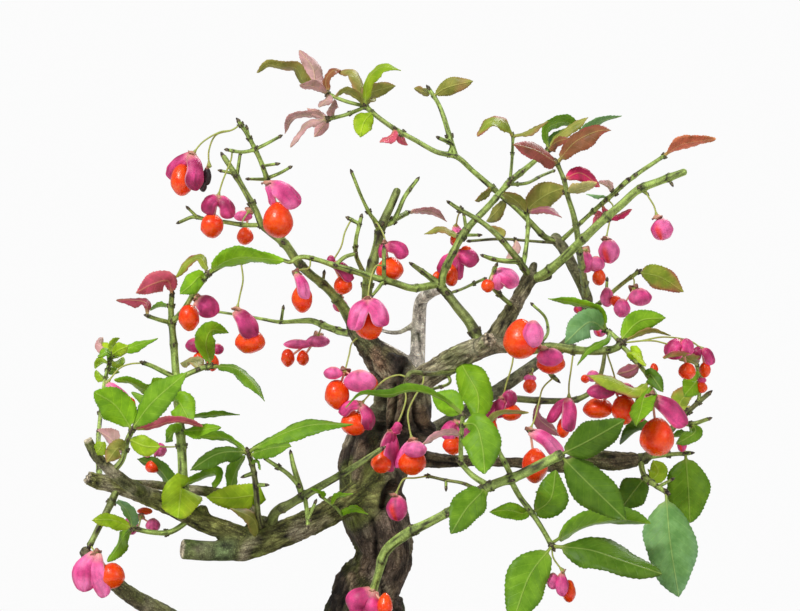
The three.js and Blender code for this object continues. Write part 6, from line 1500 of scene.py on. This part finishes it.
# The fruit: a pink capsule on a thread-like stalk, split into thick cushioned valves that hang
# from a small brown calyx, and in it a seed in a fleshy orange aril that hangs clear below.
valve_width, valve_thickness, valve_cup, valve_bow = 0.0058, 0.0017, 0.46, 0.18
valve_fullness, least_valve, slit_red = 1.5, 0.0022, paint(240, 58, 14)
stalk_radius, aril_stalk_radius, calyx_radius = 0.0002, 0.00028, 0.00124
own_aril_pixels = 125
capsule_tones = {"pink": ((250, 126, 184), (216, 64, 134)), "dry": ((62, 44, 46), (30, 22, 25)),
                 "magenta": ((228, 74, 142), (162, 34, 88))}
valve_inside, valve_root = paint(236, 150, 176), paint(236, 176, 148)
# A painted highlight for the valves' rims, and painted shade for a line beside them and for the
# lobes' seams.
rim_highlight, rim_and_seam_shade = paint(246, 190, 196), paint(104, 22, 56)
stalk_green = paint(172, 182, 92)
calyx_brown, calyx_rim = paint(220, 160, 132), paint(112, 66, 52)
aril_orange, aril_red = paint(255, 84, 2), paint(248, 40, 0)

bpy.ops.mesh.primitive_uv_sphere_add(segments=32, ring_count=18, radius=1)
berry_blank, berry_faces = blank_from(bpy.context.object)
valve_blank = berry_blank[:, [0, 2, 1]] * (1, 1, -1)
bpy.ops.mesh.primitive_uv_sphere_add(segments=28, ring_count=20, radius=1)
aril_blank, aril_faces = blank_from(bpy.context.object)
bpy.ops.mesh.primitive_cone_add(vertices=24, radius1=1.0, radius2=0.45, depth=0.9)
calyx_shape = bpy.context.object
bpy.ops.object.mode_set(mode="EDIT")
bpy.ops.mesh.select_all(action="SELECT")
bpy.ops.mesh.subdivide(number_cuts=1)
bpy.ops.object.mode_set(mode="OBJECT")
calyx_blank, calyx_faces = blank_from(calyx_shape)


# Two tones mixed in flecks over the points of a part.
def flecked_tones(points, tones, seed, size, amount):
    mix = np.clip(0.5 + amount * lumps_at(points, size, (seed, 7, 0)), 0, 1)[:, None]
    return toward(np.array(paint(*tones[0])), paint(*tones[1]), mix)


# A valve: a pear-shaped cushion from the calyx to its tip, bowed away from the aril, cupped
# towards it, wrinkled outside and grooved inside, with a painted highlight along its rim and a
# painted shade line just inside it, and painted light and shade on its wrinkles.
def valve(calyx, tip, depth, arils, tones, seed):
    px, py, seen, *forward = tip
    tip_depth = depth + sum(forward)
    ax, ay = arils[0][:2] if arils else (px, py + 10)
    middle = ((calyx[0] + px) / 2, (calyx[1] + py) / 2)
    away = (middle[0] - ax, middle[1] - ay)
    bow = (2 + valve_bow * seen) / (math.hypot(*away) or 1)
    bowed = (middle[0] + away[0] * bow, middle[1] + away[1] * bow)
    line = [place(*calyx, depth), place(*bowed, (depth + tip_depth) / 2 - 1),
            place(px, py, tip_depth)]
    visible = real_width(seen, depth)
    width = kept_in(visible * valve_fullness, least_valve, valve_width)
    facing = np.cross(line[2] - line[0], (0, 1, 0))
    inward = 1 if (place(ax, ay, depth) - line[1]).dot(facing) > 0 else -1
    roll = inward * math.acos(min(visible, width) / width)
    raw, through, along = valve_blank[:, 0], valve_blank[:, 2], (valve_blank[:, 1] + 1) / 2
    egg = np.sqrt(np.maximum(4 * along * (1 - along), 1e-6))
    pear = (0.1 + 0.9 * along) ** 0.42 * np.sqrt(np.maximum(1 - along ** 6, 0)) / 0.82
    half = raw / egg * pear * width / 2 * (1 + 0.05 * np.sin(9 * along + seed))
    raw = np.clip(raw / egg, -1, 1)
    plump = np.sign(through) * abs(through) ** 0.75 / 2
    level = valve_cup * raw ** 2 * pear * width / 2 + plump * min(valve_thickness, width * 0.45)
    wrinkles = lumps_at(np.c_[raw * 5 + seed, along * 2.4, through * 2], 1)
    level = level - 0.00042 * wrinkles * np.clip(-through * 3, 0, 1)
    level = level - 0.0006 * np.exp(-(raw / 0.16) ** 2) * np.clip(through * 2, 0, 1)
    points, lay_of = laid_along(line, along, half, roll, level)
    # Painted light and shade: the tone is lighter on the wrinkles' crests and darker in their
    # dips.
    colours = flecked_tones(points, tones, seed, 330, 1.5) * (1 + 0.5 * wrinkles)[:, None]
    if tones != capsule_tones["dry"]:
        # A paler inside and root, then a painted highlight on the rim and a painted shade line
        # beside it.
        for band, other, share in ((through * 2.5 - 0.6, valve_inside, 0.55),
                                   (1 - along * 4.0, valve_root, 0.85),
                                   (1 - abs(through - 0.02) * 9, rim_highlight, 0.75),
                                   (1 - abs(through - 0.22) * 9, rim_and_seam_shade, 0.6)):
            colours = toward(colours, other, np.clip(band, 0, 1)[:, None] * share)
    return points, berry_faces, lay_of, colours


# A lobe that is still closed: a seamed berry with painted shade along its seams and painted
# light and shade on its wrinkles, and on one that hangs alone an open red slit.
def lobe(middle, width, height, depth, tones, seed, slit_open):
    across, tall = real_width(width, depth) / 2, real_width(height, depth) / 2
    shape = berry_blank.copy()
    turn = np.arctan2(shape[:, 1], shape[:, 0])
    seam = np.exp(-(np.cos(2 * turn + seed) / 0.28) ** 2)
    wrinkles = lumps_at(shape * (2.6, 2.6, 1.6), 1, (seed, 3, 0))
    shape *= (1 - 0.04 * seam + 0.05 * wrinkles)[:, None]
    shape[:, :2] *= (1 - 0.2 * np.clip(shape[:, 2], 0, 1))[:, None]
    points = shape * (across, min(across, tall), tall) + place(*middle, depth)
    # Painted light and shade: the tone is lighter where the wrinkles bulge and darker where they
    # sink.
    colours = flecked_tones(points, tones, seed, 220, 0.9) * (1 + 0.4 * wrinkles)[:, None]
    from_slit = turn + math.pi / 2 + 0.5 + 0.3 * shape[:, 2]
    slit = np.clip(1.6 - abs(from_slit) / 0.25, 0, 1) * np.clip(0.9 - 1.6 * shape[:, 2], 0, 1)
    colours = toward(colours, slit_red, slit[:, None] * (0.85 if slit_open else 0))
    # Painted shade along the seams.
    colours = toward(colours, rim_and_seam_shade, seam[:, None] ** 3 * 0.3)
    root = np.clip(shape[:, 2] * 3 - 2.0, 0, 1)[:, None] * 0.7
    return points, berry_faces, np.zeros((len(points), 2)), toward(colours, valve_root, root)


# A thread along a path, as a list of one part, or of none where the path is too short.
def thread(path, radius, tone, end_radius=None):
    line = [place(*point) for point in path]
    if np.linalg.norm(line[-1] - line[0]) < 0.0006:
        return []
    run, _ = smooth_run(line, [1, 1], 0.0006)
    radii = np.full(len(run), radius)
    radii[-3:] = np.linspace(radius, end_radius or radius, 3)[-len(radii[-3:]):]
    return [(*tube(run, radii, 7), np.array(tone))]


# A calyx: a small brown collar with four lobes at its rim, open the way that the fruit hangs.
def calyx_at(point, way, seed, size):
    shape = calyx_blank.copy()
    turn, out = np.arctan2(shape[:, 1], shape[:, 0]), np.hypot(shape[:, 0], shape[:, 1])
    lobes = np.cos(4 * turn + seed)
    shape[:, :2] *= (1 + 0.14 * lobes * out)[:, None]
    shape[:, 2] = shape[:, 2] * 0.9 + 0.5 * np.clip(out - 0.6, 0, 1) * (1.2 + lobes)
    turned = np.array(Vector(way).to_track_quat("Z", "Y").to_matrix())
    points = (shape * calyx_radius * size) @ turned.T + point
    tones = toward(np.array(calyx_brown), calyx_rim, np.clip(out * 1.6 - 0.9, 0, 1)[:, None])
    return points, calyx_faces, np.zeros((len(points), 2)), tones


# An aril: a pebbled egg of orange flesh, drawn in more or less to its ends.
def aril(middle, width, height, depth, seed):
    across, tall = real_width(width, depth) / 2, real_width(height, depth) / 2
    shape = aril_blank.copy()
    up = shape[:, 2]
    taper = 0.13 + 0.13 * math.sin(seed * 2.1)
    drawn_in = 1 - taper * up - (0.3 - 0.4 * taper) * np.clip(-up - 0.3, 0, 1)
    shape[:, :2] *= (drawn_in + 0.04)[:, None]
    shape *= (across, (across + tall) / 2, tall)
    pebble = lumps_at(shape, 1500, (seed, 0, 0)) + 1.8 * lumps_at(shape, 420, (0, seed, 0))
    normals = shape / np.maximum(np.linalg.norm(shape, axis=1), 1e-9)[:, None]
    points = shape + normals * pebble[:, None] * 0.00009 + place(*middle, depth)
    red = np.clip(0.3 - 0.5 * up + 1.1 * pebble / 2.8, 0, 1)[:, None]
    tones = toward(np.array(aril_orange), aril_red, red)
    return points, aril_faces, np.zeros((len(points), 2)), tones


capsule_skin, add, feed = new_finish(
    "capsule_skin", Specular_IOR_Level=0.35, Coat_Weight=0.1, Coat_Roughness=0.35,
    Subsurface_Weight=0.15, Subsurface_Scale=0.001, Subsurface_Radius=(1.0, 0.35, 0.5))
skin_wear = weathered(add, 0.0011, 0.00022, 3.0)
veined = blend_colours(add, skin_wear["Patches"], (0.86, 0.8, 0.86), (1.14, 1.16, 1.12))
feed("Base Color", toned(add, skin_wear["Specks"], veined, (1.25, 1.3, 1.25)))
feed("Roughness", dulled(add, skin_wear, 0.34, 0.48))
feed("Normal", bumped(add, skin_wear["Height"], 0.00007))

aril_flesh, add, feed = new_finish(
    "aril_flesh", Specular_IOR_Level=0.35, Coat_Weight=0.3, Coat_Roughness=0.15,
    Subsurface_Weight=0.2, Subsurface_Scale=0.0015, Subsurface_Radius=(1.0, 0.2, 0.03))
flesh_wear = weathered(add, 0.0009, 0.00025, 5.0)
feed("Base Color", toned(add, flesh_wear["Patches"], (0.97, 0.78, 0.7), (1.06, 1.25, 1.0)))
feed("Roughness", dulled(add, flesh_wear, 0.2, 0.34))
pits = add("ShaderNodeTexVoronoi", {
    "Vector": add("ShaderNodeTexCoord").outputs["Object"], "Scale": 1500.0}, feature="SMOOTH_F1")
pitted = bumped(add, pits.outputs["Distance"], 0.00007)
feed("Normal", bumped(add, flesh_wear["Height"], 0.00006, pitted))

capsule_parts, small_arils, own_aril_count = {}, {}, 0
for seed, row in enumerate(fruit_rows):
    parent, depth, stalk, calyx, valves, lobes, arils, tone_name = row
    tones, spray, hung_at = capsule_tones[tone_name], in_spray(parent), place(*calyx, depth)
    parts = capsule_parts.setdefault(spray, [])
    start = seat(parent, stalk[0] if stalk else calyx)
    path = [start]
    for i, (px, py) in enumerate(stalk):
        path.append((px, py, start[2] + (depth - start[2]) * (i + 1) / (len(stalk) + 1)))
    path.append((*calyx, depth))
    parts.extend(thread(path, stalk_radius, stalk_green, 0.0006))
    before = place(calyx[0], calyx[1] - 9, depth)
    if math.dist(path[-2][:2], calyx) > 2:
        before = place(*path[-2])
    widest = max((fruit[2] for fruit in arils + lobes), default=14)
    parts.append(calyx_at(hung_at, before - hung_at, seed, kept_in(widest / 22, 0.5, 1.05)))
    for number, tip in enumerate(valves):
        parts.append(valve(calyx, tip, depth, arils, tones, seed * 3 + number))
    for number, (px, py, width, height, *back) in enumerate(lobes):
        at, alone = depth + sum(back), not arils and len(lobes) == 1
        parts.append(lobe((px, py), width, height, at, tones, seed * 5 + number, alone))
        parts.extend(thread([(*calyx, depth), (px, py, at)], stalk_radius, valve_root))
    for number, (px, py, width, height, *back) in enumerate(arils):
        at = depth + sum(back)
        flesh = aril((px, py), width, height, at, seed * 4 + number)
        parts.extend(thread([(*calyx, depth), (px, py, at)], aril_stalk_radius, valve_root))
        if width * height < own_aril_pixels:
            small_arils.setdefault(spray, []).append(flesh)
        else:
            own_aril_count += 1
            node = f"aril_{own_aril_count:02d}"
            make_piece(f"orange_{node}", [flesh], aril_flesh, "aril", node)
make_in_sprays("capsules", capsule_parts, capsule_skin, "leafy_shoot")
make_in_sprays("small_arils", small_arils, aril_flesh, "aril")
